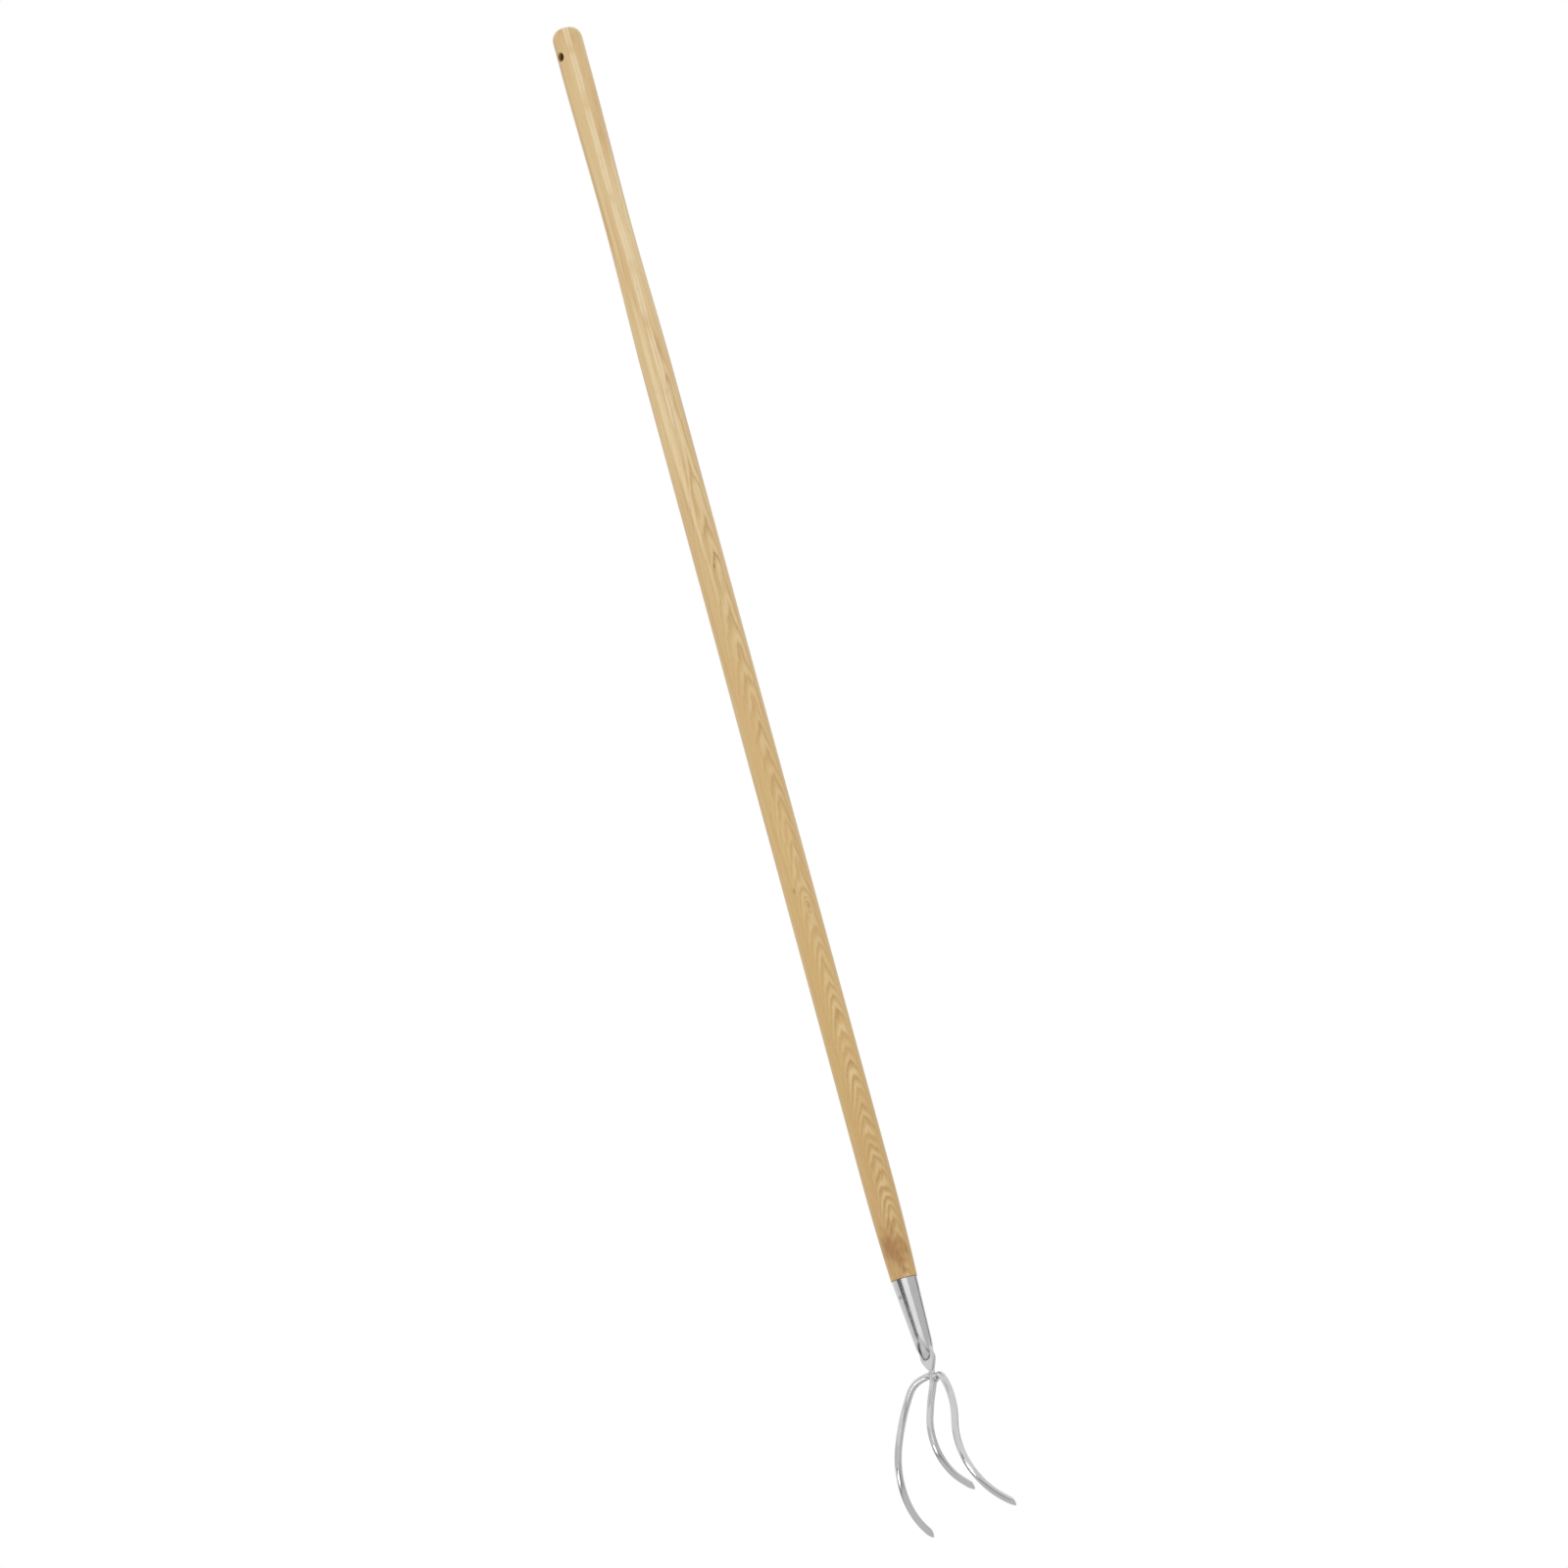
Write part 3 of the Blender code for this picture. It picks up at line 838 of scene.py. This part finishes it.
@dataclass
class Handle:
    """The turned ash handle with its hanging hole and the spigot inside the socket."""

    shaft_radius: float = 0.01525
    grip_radius: float = 0.0149
    waist_radius: float = 0.0133
    grip_from_end: float = 0.045
    waist_from_end: float = 0.205
    shaft_from_end: float = 0.370
    shown: float = BUTT_Z - MOUTH_Z
    foot_taper: float = 0.105
    foot_radius: float = 0.01305
    foot_rounding: float = 2.0
    foot_edge: float = 0.0004
    butt_flat: float = 0.004
    dome: float = 0.0125
    spigot_top: float = 0.0078
    spigot_foot: float = 0.0066
    spigot_length: float = 0.060
    hole_radius: float = 0.004
    chamfer: float = 0.0013
    drill_turn: float = math.radians(2.3)
    drill_sides: int = 48
    dome_steps: int = 16
    shaft_steps: int = 96
    sides: int = 96

    def radius(self, from_end: float) -> float:
        """The radius below the dome.

        Args:
            from_end: Distance from the butt end.

        Returns:
            The radius.
        """
        if from_end < self.waist_from_end:
            share = (from_end - self.grip_from_end) / (self.waist_from_end - self.grip_from_end)
            return between(self.grip_radius, self.waist_radius, ease(share))
        if from_end < self.shaft_from_end:
            share = (from_end - self.waist_from_end) / (self.shaft_from_end - self.waist_from_end)
            return between(self.waist_radius, self.shaft_radius, ease(share))
        share = max(from_end - (self.shown - self.foot_taper), 0.0) / self.foot_taper
        return between(self.shaft_radius, self.foot_radius, share ** self.foot_rounding)

    def profile(self) -> list[tuple[float, float]]:
        """The handle's half outline.

        Returns:
            (radius, height) points from the butt's middle to the spigot's foot.
        """
        points = [(0.0, BUTT_Z)]
        for share in shares(self.dome_steps):
            angle = QUARTER_TURN * share
            radius = between(self.butt_flat, self.grip_radius, math.sin(angle))
            points.append((radius, BUTT_Z - self.dome * (1 - math.cos(angle))))
        for share in shares(self.shaft_steps)[1:-1]:
            from_end = between(self.dome, self.shown, share)
            points.append((self.radius(from_end), BUTT_Z - from_end))
        return points + [
            (self.foot_radius, MOUTH_Z + self.foot_edge * 2),
            (self.foot_radius - self.foot_edge, MOUTH_Z + self.foot_edge),
            (self.spigot_top, MOUTH_Z + self.foot_edge),
            (self.spigot_foot, MOUTH_Z - self.spigot_length),
            (0.0, MOUTH_Z - self.spigot_length),
        ]

    def build(self, finishes: Finishes) -> None:
        """Turn the handle, drill its hole and dress it.

        Args:
            finishes: The tool's finishes.
        """
        piece = to_object("ash_handle", spun(self.profile(), self.sides))
        outside = self.grip_radius + self.chamfer
        flare = self.hole_radius + 2 * self.chamfer
        half = [(0.0, outside), (flare, outside), (self.hole_radius, self.grip_radius - self.chamfer)]
        # The drill's corners stay clear of the handle's, so that the cut leaves no slivers
        lying = ALONG_Y @ Matrix.Rotation(self.drill_turn, 4, "Z")
        drill = to_object("hanging_hole_drill", spun(mirrored(half), self.drill_sides, lying))
        carve(piece, drill)
        finishes.dress(piece, Slot.ASH)
        adopt(piece, "handle")


@dataclass
class Socket:
    """The rolled cone socket, pressed to a blade at its foot, where the cone ends in a round nose."""

    length: float = MOUTH_Z - NECK_Z
    mouth_radius: float = 0.01265
    wall: float = 0.0015
    pinch_top: float = 0.030
    pinch_radius: float = 0.00895
    nose_end: float = 0.0104
    nose_half_width: float = 0.0096
    nose_squareness: float = 3.0
    nose_flanks: float = 0.95
    nose_blend: float = 2.4
    blade_widest: float = 0.0115
    blade_half_width: float = 0.01065
    blade_half_depth: float = 0.0018
    neck_half_width: float = 0.0029
    neck_half_depth: float = 0.0026
    # Shade is painted along the pressed line round the nose's end, within these widths and bounds
    crease_width: float = 0.0014
    crease_start: float = 0.72
    crease_fade: float = 0.12
    crease_left: float = -0.0055
    crease_left_fade: float = 0.002
    crease_right: float = 0.009159
    crease_right_fade: float = 0.0015
    # A dark reflection is painted down the nose's left: its width, its way from top to foot and its fade-in
    dark_leg_width: float = 0.0026
    dark_leg_top: float = 0.0036
    dark_leg_foot: float = -0.0024
    dark_leg_fade: float = 0.2
    lap: float = 0.0006
    trim_rounding: float = 1.35
    bore_depth: float = 0.060
    cone_rings: int = 16
    nose_rings: int = 60
    blade_rings: int = 22
    sides: int = 160

    def cone(self, height: float) -> float:
        """The cone's radius at a height above the neck."""
        share = (height - self.pinch_top) / (self.length - self.pinch_top)
        return between(self.pinch_radius, self.mouth_radius, share)

    def blade(self, height: float) -> tuple[float, float]:
        """The size of the pressed blade.

        Args:
            height: Height above the neck.

        Returns:
            Its half width and half thickness.
        """
        if height >= self.blade_widest:
            share = ease((self.pinch_top - height) / (self.pinch_top - self.blade_widest))
            return between(self.pinch_radius, self.blade_half_width, share), self.blade_half_depth * share
        share = min((self.blade_widest - height) / self.blade_widest, 1.0)
        half_width = between(self.blade_half_width, self.neck_half_width, share ** self.trim_rounding)
        return half_width, between(self.blade_half_depth, self.neck_half_depth, share * share)

    def down_nose(self, height: float) -> float:
        """The share of the way down the nose that a height is at."""
        return (self.pinch_top - height) / (self.pinch_top - self.nose_end)

    def nose(self, height: float, x: float) -> float:
        """The depth of the cone's round end.

        Args:
            height: Height above the neck.
            x: Distance from the socket's middle.

        Returns:
            Half the depth.
        """
        share = self.down_nose(height)
        if share >= 1:
            return 0.0
        narrowed = (1 - share ** self.nose_squareness) ** (1 / self.nose_squareness)
        half_width = between(self.pinch_radius, self.nose_half_width, share) * narrowed
        half_depth = self.pinch_radius * math.sqrt(1 - share * share)
        inside = max(1 - (x / half_width) ** 2, 0.0)
        return half_depth * inside ** between(0.5, self.nose_flanks, share)

    def outline(self, height: float, angle: float) -> tuple[float, float, float]:
        """A point of the socket's outside.

        Args:
            height: Height above the neck.
            angle: The way round, from +X towards +Y.

        Returns:
            x and y from the socket's middle, and how dark the painted shade and painted dark reflection make
            the point, 0 to 1.
        """
        across, towards = math.cos(angle), math.sin(angle)
        if height >= self.pinch_top:
            return across * self.cone(height), towards * self.cone(height), 0.0
        half_width, half_depth = self.blade(height)
        x = across * half_width
        past = max(abs(x) - (half_width - half_depth), 0.0)
        flat = math.sqrt(max(half_depth * half_depth - past * past, 0.0))
        raised = self.nose(height, x)
        y = (flat ** self.nose_blend + raised ** self.nose_blend) ** (1 / self.nose_blend)
        return x, math.copysign(y, towards), self.painted_dark_at(height, x, flat, raised)

    def painted_dark_at(self, height: float, x: float, flat: float, raised: float) -> float:
        """How much painted darkness a point gets: a dark reflection painted down the nose's left and shade
        painted along the pressed line round its end, 0 to 1.

        Args:
            height: Height above the neck.
            x: Distance from the socket's middle.
            flat: The blade's half depth there.
            raised: The nose's half depth there.

        Returns:
            The darkness.
        """
        if raised <= 0:
            return 0.0
        share = self.down_nose(height)
        # A dark reflection painted down the nose's left, drifting from top to foot
        fold_x = between(self.dark_leg_top, self.dark_leg_foot, share)
        dark_leg = ease(1 - abs(x - fold_x) / self.dark_leg_width) * ease(share / self.dark_leg_fade)
        # Painted shade along the pressed line where the nose meets the blade, on the nose's lower end only
        end = ease(1 - abs(raised - flat) / self.crease_width)
        end *= ease((share - self.crease_start) / self.crease_fade)
        end *= ease((self.crease_right - x) / self.crease_right_fade)
        end *= ease((x - self.crease_left) / self.crease_left_fade)
        return max(dark_leg, end)

    def heights(self) -> list[float]:
        """Where the rings below the mouth are, closer together where the nose closes.

        Returns:
            Their heights above the neck, from the top down.
        """
        found = [between(self.length, self.pinch_top, share) for share in shares(self.cone_rings)[1:]]
        for share in shares(self.nose_rings)[1:]:
            found.append(between(self.pinch_top, self.nose_end, math.sin(QUARTER_TURN * share)))
        return found + [between(self.nose_end, -self.lap, share) for share in shares(self.blade_rings)[1:]]

    def build(self, finishes: Finishes) -> None:
        """Draw the socket down from its mouth, hollow it and dress it.

        Args:
            finishes: The tool's finishes.
        """
        shape = bmesh.new()
        # Each vertex holds the painted shade and painted dark reflection that it gets
        painted_dark = shape.verts.layers.float.new("painted_dark")
        mouth = bmesh.ops.create_circle(shape, cap_ends=False, radius=1.0, segments=self.sides)["verts"]
        angles = [math.atan2(vert.co.y, vert.co.x) for vert in mouth]
        self.place(mouth, angles, self.length, painted_dark)
        ring = mouth
        for height in self.heights():
            ring = drawn(shape, ring)
            self.place(ring, angles, height, painted_dark)
        foot = drawn(shape, ring)
        bmesh.ops.pointmerge(shape, verts=foot, merge_co=(0.0, NECK_Y, NECK_Z - self.lap))
        inner = drawn(shape, mouth)
        self.place(inner, angles, self.length, painted_dark, self.wall)
        floor = drawn(shape, inner)
        depth = self.length - self.bore_depth
        self.place(floor, angles, depth, painted_dark, self.wall)
        closed = drawn(shape, floor)
        bmesh.ops.pointmerge(shape, verts=closed, merge_co=(0.0, self.lean(depth), NECK_Z + depth))
        piece = to_object("steel_socket", shape)
        finishes.dress(piece, Slot.STEEL, finishes.socket)
        adopt(piece, "socket")

    def lean(self, height: float) -> float:
        """How far the socket's middle stands towards the tips' side."""
        return NECK_Y * (1 - height / self.length)

    def place(
        self,
        ring: Sequence[bmesh.types.BMVert],
        angles: Sequence[float],
        height: float,
        painted_dark: bmesh.types.BMLayerItem,
        inset: float = 0.0,
    ) -> None:
        """Move a ring to its outline at a height.

        Args:
            ring: The ring's vertices.
            angles: The way round of each.
            height: Height above the neck.
            painted_dark: The layer that holds how much painted shade and painted dark reflection each vertex
                gets.
            inset: How far inside the outline they go.
        """
        for vert, angle in zip(ring, angles):
            x, y, near = self.outline(height, angle)
            shrink = 1 - inset / math.hypot(x, y)
            vert.co = (x * shrink, self.lean(height) + y * shrink, NECK_Z + height)
            vert[painted_dark] = near


@dataclass
class Rivet:
    """The pin through the socket, with a low head at each end."""

    from_mouth: float = 0.0165
    head_radius: float = 0.0018
    head_height: float = 0.0006
    shank_radius: float = 0.0018
    seat: float = 0.0116
    under_head: float = 0.001
    lean: float = 0.00056
    dome_steps: int = 8
    sides: int = 48

    def build(self, finishes: Finishes) -> None:
        """Turn the rivet, lay it through the socket and dress it.

        Args:
            finishes: The tool's finishes.
        """
        half = []
        for share in shares(self.dome_steps):
            angle = QUARTER_TURN * share
            half.append((self.head_radius * math.sin(angle), self.seat + self.head_height * math.cos(angle)))
        half.append((self.shank_radius, self.seat - self.under_head))
        lying = Matrix.Translation((0.0, self.lean, MOUTH_Z - self.from_mouth)) @ ALONG_Y
        piece = to_object("steel_rivet", spun(mirrored(half), self.sides, lying))
        finishes.dress(piece, Slot.RIVET)
        adopt(piece, "socket_rivet")


@dataclass(frozen=True)
class Bend:
    """A bend of a bar: its corner as (out, towards the tips, down) from the neck, and radius."""

    corner: tuple[float, float, float]
    radius: float


def from_neck(corner: Sequence[float], side: int) -> Vector:
    """A place given from the neck as (out, towards the tips, down)."""
    return Vector((side * corner[0], NECK_Y + corner[1], NECK_Z - corner[2]))


def bent(start: Vector, corners: Sequence[tuple[Vector, float]], end: Vector, step: float) -> list[Vector]:
    """Points along straight runs that meet in round bends.

    Args:
        start: Where the bar starts.
        corners: Each bend's corner and radius.
        end: Where the bar ends.
        step: The turn between two points of a bend.

    Returns:
        The points.
    """
    places = [start] + [corner for corner, _ in corners] + [end]
    route = [start]
    for index, (corner, radius) in enumerate(corners, 1):
        back = (places[index - 1] - corner).normalized()
        ahead = (places[index + 1] - corner).normalized()
        half = back.angle(ahead) / 2
        centre = corner + (back + ahead).normalized() * (radius / math.sin(half))
        first = corner + back * (radius / math.tan(half)) - centre
        last = corner + ahead * (radius / math.tan(half)) - centre
        sweep = first.angle(last)
        for share in shares(max(3, round(sweep / step))):
            early = math.sin((1 - share) * sweep) / math.sin(sweep)
            late = math.sin(share * sweep) / math.sin(sweep)
            route.append(centre + first * early + last * late)
    return route + [end]


@dataclass
class Tines:
    """The three bent bars with ground points, and the welds that hold the outer two."""

    radius: float = 0.0035
    top_radius: float = 0.0028
    top_taper: float = 0.009
    tip_length: float = 0.008
    tip_radius: float = 0.0009
    tip_drop: float = 0.0014
    tip_rounding: float = 1.8
    tip_steps: int = 14
    tip_end: tuple[tuple[float, float], ...] = ((0.45, 0.8), (0.15, 0.5), (0.0, 0.2))
    left_drop: float = 0.0042
    right_drop: float = 0.0072
    root_corner: tuple[float, float] = (0.0092, -0.0005)
    root_bend: float = 0.0074
    outer_bends: tuple[Bend, ...] = (
        Bend((0.0224, -0.0084, 0.0072), 0.0255),
        Bend((0.0416, -0.0166, 0.0349), 0.0895),
        Bend((0.0515, -0.0463, 0.1083), 0.0740),
    )
    outer_tip: tuple[float, float, float] = (0.06594, 0.0032, 0.14895)
    middle_bends: tuple[Bend, ...] = (
        Bend((0.0, -0.0002, 0.0087), 0.0280),
        Bend((0.0, -0.0111, 0.0292), 0.1010),
        Bend((0.0, -0.0336, 0.0836), 0.0565),
    )
    middle_tip: tuple[float, float, float] = (0.0, 0.0138, 0.1185)
    buried: float = 0.0016
    weld_start: float = 0.0010
    weld_end: float = 0.0088
    weld_full: float = 0.0028
    weld_flare: float = 2.4
    weld_thin: float = 0.003465
    weld_half_height: float = 0.0050
    weld_half_width: float = 0.0037
    weld_sag: float = 0.0007
    weld_steps: int = 20
    bend_step: float = math.radians(2.5)
    sides: int = 36

    def radius_at(self, place: Vector, top_radius: float) -> float:
        """A bar's radius above its point, where its top may be drawn down to the neck's."""
        below = max(NECK_Z - place.z, 0.0)
        return between(top_radius, self.radius, ease(below / self.top_taper))

    def stations(self, route: list[Vector], top_radius: float) -> list[Station]:
        """Sections along a route, ending in the ground point.

        Args:
            route: The bar's points.
            top_radius: The radius at the bar's top.

        Returns:
            The stations.
        """
        along_end = (route[-1] - route[-2]).normalized()
        low = along_end.cross(Vector((0.0, 0.0, -1.0)).cross(along_end)).normalized()
        places = [(place, self.radius_at(place, top_radius)) for place in route[:-1]]
        for share in shares(self.tip_steps):
            narrowed = share ** self.tip_rounding
            middle = route[-1] - along_end * self.tip_length * (1 - share) + low * self.tip_drop * narrowed
            places.append((middle, between(self.radius, self.tip_radius, narrowed)))
        last = places[-1][0]
        for back, narrow in self.tip_end:
            places.append((last - along_end * self.tip_radius * back, self.tip_radius * narrow))
        stations = []
        for index, (place, radius) in enumerate(places):
            before = places[max(index - 1, 0)][0]
            after = places[min(index + 1, len(places) - 1)][0]
            along = (after - before).normalized() if index < len(route) - 1 else along_end
            stations.append(Station(place, along, radius, radius))
        return stations

    def bar(self, name: str, route: list[Vector], top_radius: float, finishes: Finishes) -> None:
        """Sweep one bar, dress it and let it stand for its tine.

        Args:
            name: The tine's side, or middle.
            route: The bar's points.
            top_radius: The radius at the bar's top.
            finishes: The tool's finishes.
        """
        piece = to_object(f"{name}_bar", swept(self.stations(route, top_radius), self.sides))
        finishes.dress(piece, Slot.STEEL)
        adopt(piece, f"{name}_tine")

    def drop(self, side: int) -> float:
        """How far below the neck the root on a side is."""
        return self.right_drop if side > 0 else self.left_drop

    def outer_route(self, side: int) -> list[Vector]:
        """The way of an outer bar from inside the middle bar.

        Args:
            side: 1 for the right and -1 for the left.

        Returns:
            Its points.
        """
        start = from_neck((self.buried, 0.0, self.drop(side)), side)
        corners = [(from_neck((*self.root_corner, self.drop(side)), side), self.root_bend)]
        corners += [(from_neck(bend.corner, side), bend.radius) for bend in self.outer_bends]
        return bent(start, corners, from_neck(self.outer_tip, side), self.bend_step)

    def middle_route(self) -> list[Vector]:
        """The way of the middle bar from inside the neck.

        Returns:
            Its points.
        """
        start = from_neck((0.0, 0.0, -self.buried), 1)
        corners = [(from_neck(bend.corner, 1), bend.radius) for bend in self.middle_bends]
        return bent(start, corners, from_neck(self.middle_tip, 1), self.bend_step)

    def build(self, finishes: Finishes) -> None:
        """Bend, point and weld the three bars.

        Args:
            finishes: The tool's finishes.
        """
        self.bar("middle", self.middle_route(), self.top_radius, finishes)
        for name, side in (("left", -1), ("right", 1)):
            self.bar(name, self.outer_route(side), self.radius, finishes)
            self.weld(name, side, finishes)

    def weld(self, name: str, side: int, finishes: Finishes) -> None:
        """A fillet of weld that flares from an outer bar's root on to the middle bar.

        Args:
            name: The side's name.
            side: 1 for the right and -1 for the left.
            finishes: The tool's finishes.
        """
        stations = []
        for share in shares(self.weld_steps):
            out = between(self.weld_start, self.weld_end, share)
            past = max((self.weld_end - out) / (self.weld_end - self.weld_full), 0.0)
            flare = min(past, 1.0) ** self.weld_flare
            tall = between(self.weld_thin, self.weld_half_height, flare)
            wide = between(self.weld_thin, self.weld_half_width, flare)
            middle = from_neck((out, 0.0, self.drop(side) + self.weld_sag * flare), side)
            stations.append(Station(middle, Vector((float(side), 0.0, 0.0)), wide, tall))
        piece = to_object(f"{name}_bead", swept(stations, self.sides))
        finishes.dress(piece, Slot.WELD)
        adopt(piece, f"{name}_weld")


# Studio


@dataclass(frozen=True)
class Lamp:
    """A soft lamp by its bearing to the right of the camera's and its elevation, in degrees."""

    name: str
    bearing: float
    elevation: float
    distance: float
    width: float
    tall: float
    power: float


@dataclass(frozen=True)
class Card:
    """A curved studio card that shiny steel reflects.

    Its span is in degrees to the right of the camera and up, as seen from a height on the tool's
    axis, and the radius is its distance from there.
    """

    name: str
    first: float
    last: float
    low: float
    high: float
    level: float
    radius: float = 2.0
    height: float = -1.40


@dataclass
class Studio:
    """White surroundings, a pale floor, soft lamps, reflected cards and the camera."""

    floor_z: float = -2.3
    floor_half: float = 40.0
    head_height: float = -1.40
    distance: float = 8.0
    metres_a_pixel: float = 0.00094
    picture: int = 1600
    sensor: float = 36.0
    neck_pixel: tuple[float, float] = (950.6, 1398.2)
    swing: float = math.radians(50)
    rise: float = math.radians(-10.313)
    roll: float = math.radians(15.218)
    world_level: float = 0.80
    card_squares: int = 8
    lamps: tuple[Lamp, ...] = (
        Lamp("front_lamp", 5.0, -1.0, 5.0, 1.6, 2.2, 12.0),
        Lamp("side_lamp", -22.0, 17.0, 6.0, 1.5, 2.5, 14.0),
    )
    cards: tuple[Card, ...] = (
        Card("socket_line_card", -69.0, -32.0, -8.0, 8.0, 0.05),
        Card("socket_light_card", -22.0, 22.0, -2.0, 8.0, 1.35),
        Card("socket_grey_card", 24.0, 106.0, 0.0, 12.0, 0.72),
        Card("edge_card", 108.0, 128.0, 3.0, 14.0, 0.25),
        # Two small cards close to the head keep the bright bend card off the nose and the long runs
        Card("fold_card", -66.0, 0.0, -34.0, 15.0, 0.74, 0.05, -1.332),
        Card("run_card", -118.0, -25.0, -32.0, 4.0, 0.78, 0.08, -1.385),
        Card("bend_light_card", -62.0, -20.0, -16.0, -2.0, 4.0, 1.5, -1.4515),
        Card("bend_left_card", -125.0, -66.0, -20.0, -4.0, 0.35, 1.5, -1.4515),
        Card("bend_right_card", -16.0, 46.0, -24.0, -8.0, 0.35, 1.5, -1.4515),
        Card("bend_foot_card", -66.0, -17.0, -27.0, -18.0, 0.35, 1.5, -1.4515),
    )

    def axes(self) -> Matrix:
        """Which way the camera faces.

        Returns:
            Its right, up and backward directions, as columns.
        """
        cos_swing, sin_swing = math.cos(self.swing), math.sin(self.swing)
        cos_rise, sin_rise = math.cos(self.rise), math.sin(self.rise)
        x_row = Vector((cos_swing, -sin_rise * sin_swing, cos_rise * sin_swing))
        y_row = Vector((sin_swing, sin_rise * cos_swing, -cos_rise * cos_swing))
        z_row = Vector((0.0, cos_rise, sin_rise))
        roll = Matrix.Rotation(self.roll, 3, "Z")
        return Matrix((roll @ x_row, roll @ y_row, roll @ z_row))

    def sight(self, bearing: float, elevation: float) -> Vector:
        """The direction at a bearing to the right of the camera's and an elevation, in degrees."""
        side, up = CAMERA_SIDE + math.radians(bearing), math.radians(elevation)
        return Vector((math.cos(side) * math.cos(up), math.sin(side) * math.cos(up), math.sin(up)))

    def camera(self) -> None:
        """Stand the camera where the photograph was taken from."""
        centre = self.picture / 2
        neck_in_view = Vector(
            (
                (self.neck_pixel[0] - centre) * self.metres_a_pixel,
                (centre - self.neck_pixel[1]) * self.metres_a_pixel,
                -self.distance,
            )
        )
        data = bpy.data.cameras.new("picture_camera")
        data.sensor_width = self.sensor
        data.lens = self.sensor * self.distance / (self.metres_a_pixel * self.picture)
        data.clip_end = 200.0
        camera = bpy.data.objects.new("picture_camera", data)
        bpy.context.scene.collection.objects.link(camera)
        axes = self.axes()
        place = Vector((0.0, NECK_Y, NECK_Z)) - axes @ neck_in_view
        camera.matrix_world = Matrix.Translation(place) @ axes.to_4x4()
        bpy.context.scene.camera = camera
        LOG.info("camera at %s", tuple(round(value, 3) for value in place))

    def surroundings(self) -> None:
        """White for the camera and for reflections, a plain level of light for the rest."""
        world = bpy.data.worlds.new("studio")
        bpy.context.scene.world = world
        world.use_nodes = True
        nodes = Nodes(world.node_tree)
        path = nodes.node("ShaderNodeLightPath")
        seen = Field(nodes, path.outputs["Is Camera Ray"])
        seen = seen.at_least(Field(nodes, path.outputs["Is Glossy Ray"]))
        seen = seen.at_least(Field(nodes, path.outputs["Is Transmission Ray"]))
        strength = seen * (1 - self.world_level) + self.world_level
        inputs = {"Color": (1.0, 1.0, 1.0, 1.0), "Strength": strength}
        background = nodes.node("ShaderNodeBackground", None, inputs).outputs[0]
        nodes.node("ShaderNodeOutputWorld", None, {0: background})

    def floor(self) -> None:
        """A wide pale floor."""
        shape = bmesh.new()
        place = Matrix.Translation((0.0, 0.0, self.floor_z))
        bmesh.ops.create_grid(shape, x_segments=1, y_segments=1, size=self.floor_half, matrix=place)
        floor = to_object("floor", shape)
        material, nodes = new_material("floor_pale")
        nodes.finish(nodes.node("ShaderNodeBsdfDiffuse", None, {"Color": (0.92, 0.92, 0.92, 1.0)}))
        floor.data.materials.append(material)

    def card(self, card: Card) -> None:
        """Stand one curved card that only reflections see.

        Args:
            card: The card.
        """
        shape = bmesh.new()
        bmesh.ops.create_grid(shape, x_segments=self.card_squares, y_segments=self.card_squares, size=1.0)
        for vert in shape.verts:
            bearing = between(card.first, card.last, (vert.co.x + 1) / 2)
            elevation = between(card.low, card.high, (vert.co.y + 1) / 2)
            vert.co = Vector((0.0, 0.0, card.height)) + self.sight(bearing, elevation) * card.radius
        piece = to_object(card.name, shape)
        material, nodes = new_material(card.name)
        nodes.finish(nodes.node("ShaderNodeEmission", None, {"Color": (card.level,) * 3 + (1.0,)}))
        piece.data.materials.append(material)
        piece.visible_camera = False
        piece.visible_diffuse = False
        piece.visible_shadow = False

    def lamp(self, lamp: Lamp) -> None:
        """Hang one soft lamp that faces the tool's head.

        Args:
            lamp: The lamp.
        """
        data = bpy.data.lights.new(lamp.name, "AREA")
        data.shape = "RECTANGLE"
        data.size = lamp.width
        data.size_y = lamp.tall
        data.energy = lamp.power
        light = bpy.data.objects.new(lamp.name, data)
        bpy.context.scene.collection.objects.link(light)
        towards = self.sight(lamp.bearing, lamp.elevation)
        light.location = Vector((0.0, 0.0, self.head_height)) + towards * lamp.distance
        light.rotation_euler = (-towards).to_track_quat("-Z", "Y").to_euler()
        light.visible_camera = False
        light.visible_glossy = False

    def build(self) -> None:
        """Set up the studio."""
        bpy.context.scene.view_settings.view_transform = "Standard"
        self.surroundings()
        self.floor()
        for card in self.cards:
            self.card(card)
        for lamp in self.lamps:
            self.lamp(lamp)
        self.camera()


def main() -> None:
    """Build the tool's pieces and the studio."""
    logging.basicConfig(level=logging.INFO, format="%(message)s")
    finishes = Finishes()
    Handle().build(finishes)
    Socket().build(finishes)
    Rivet().build(finishes)
    Tines().build(finishes)
    Studio().build()


if __name__ == "__main__":
    main()
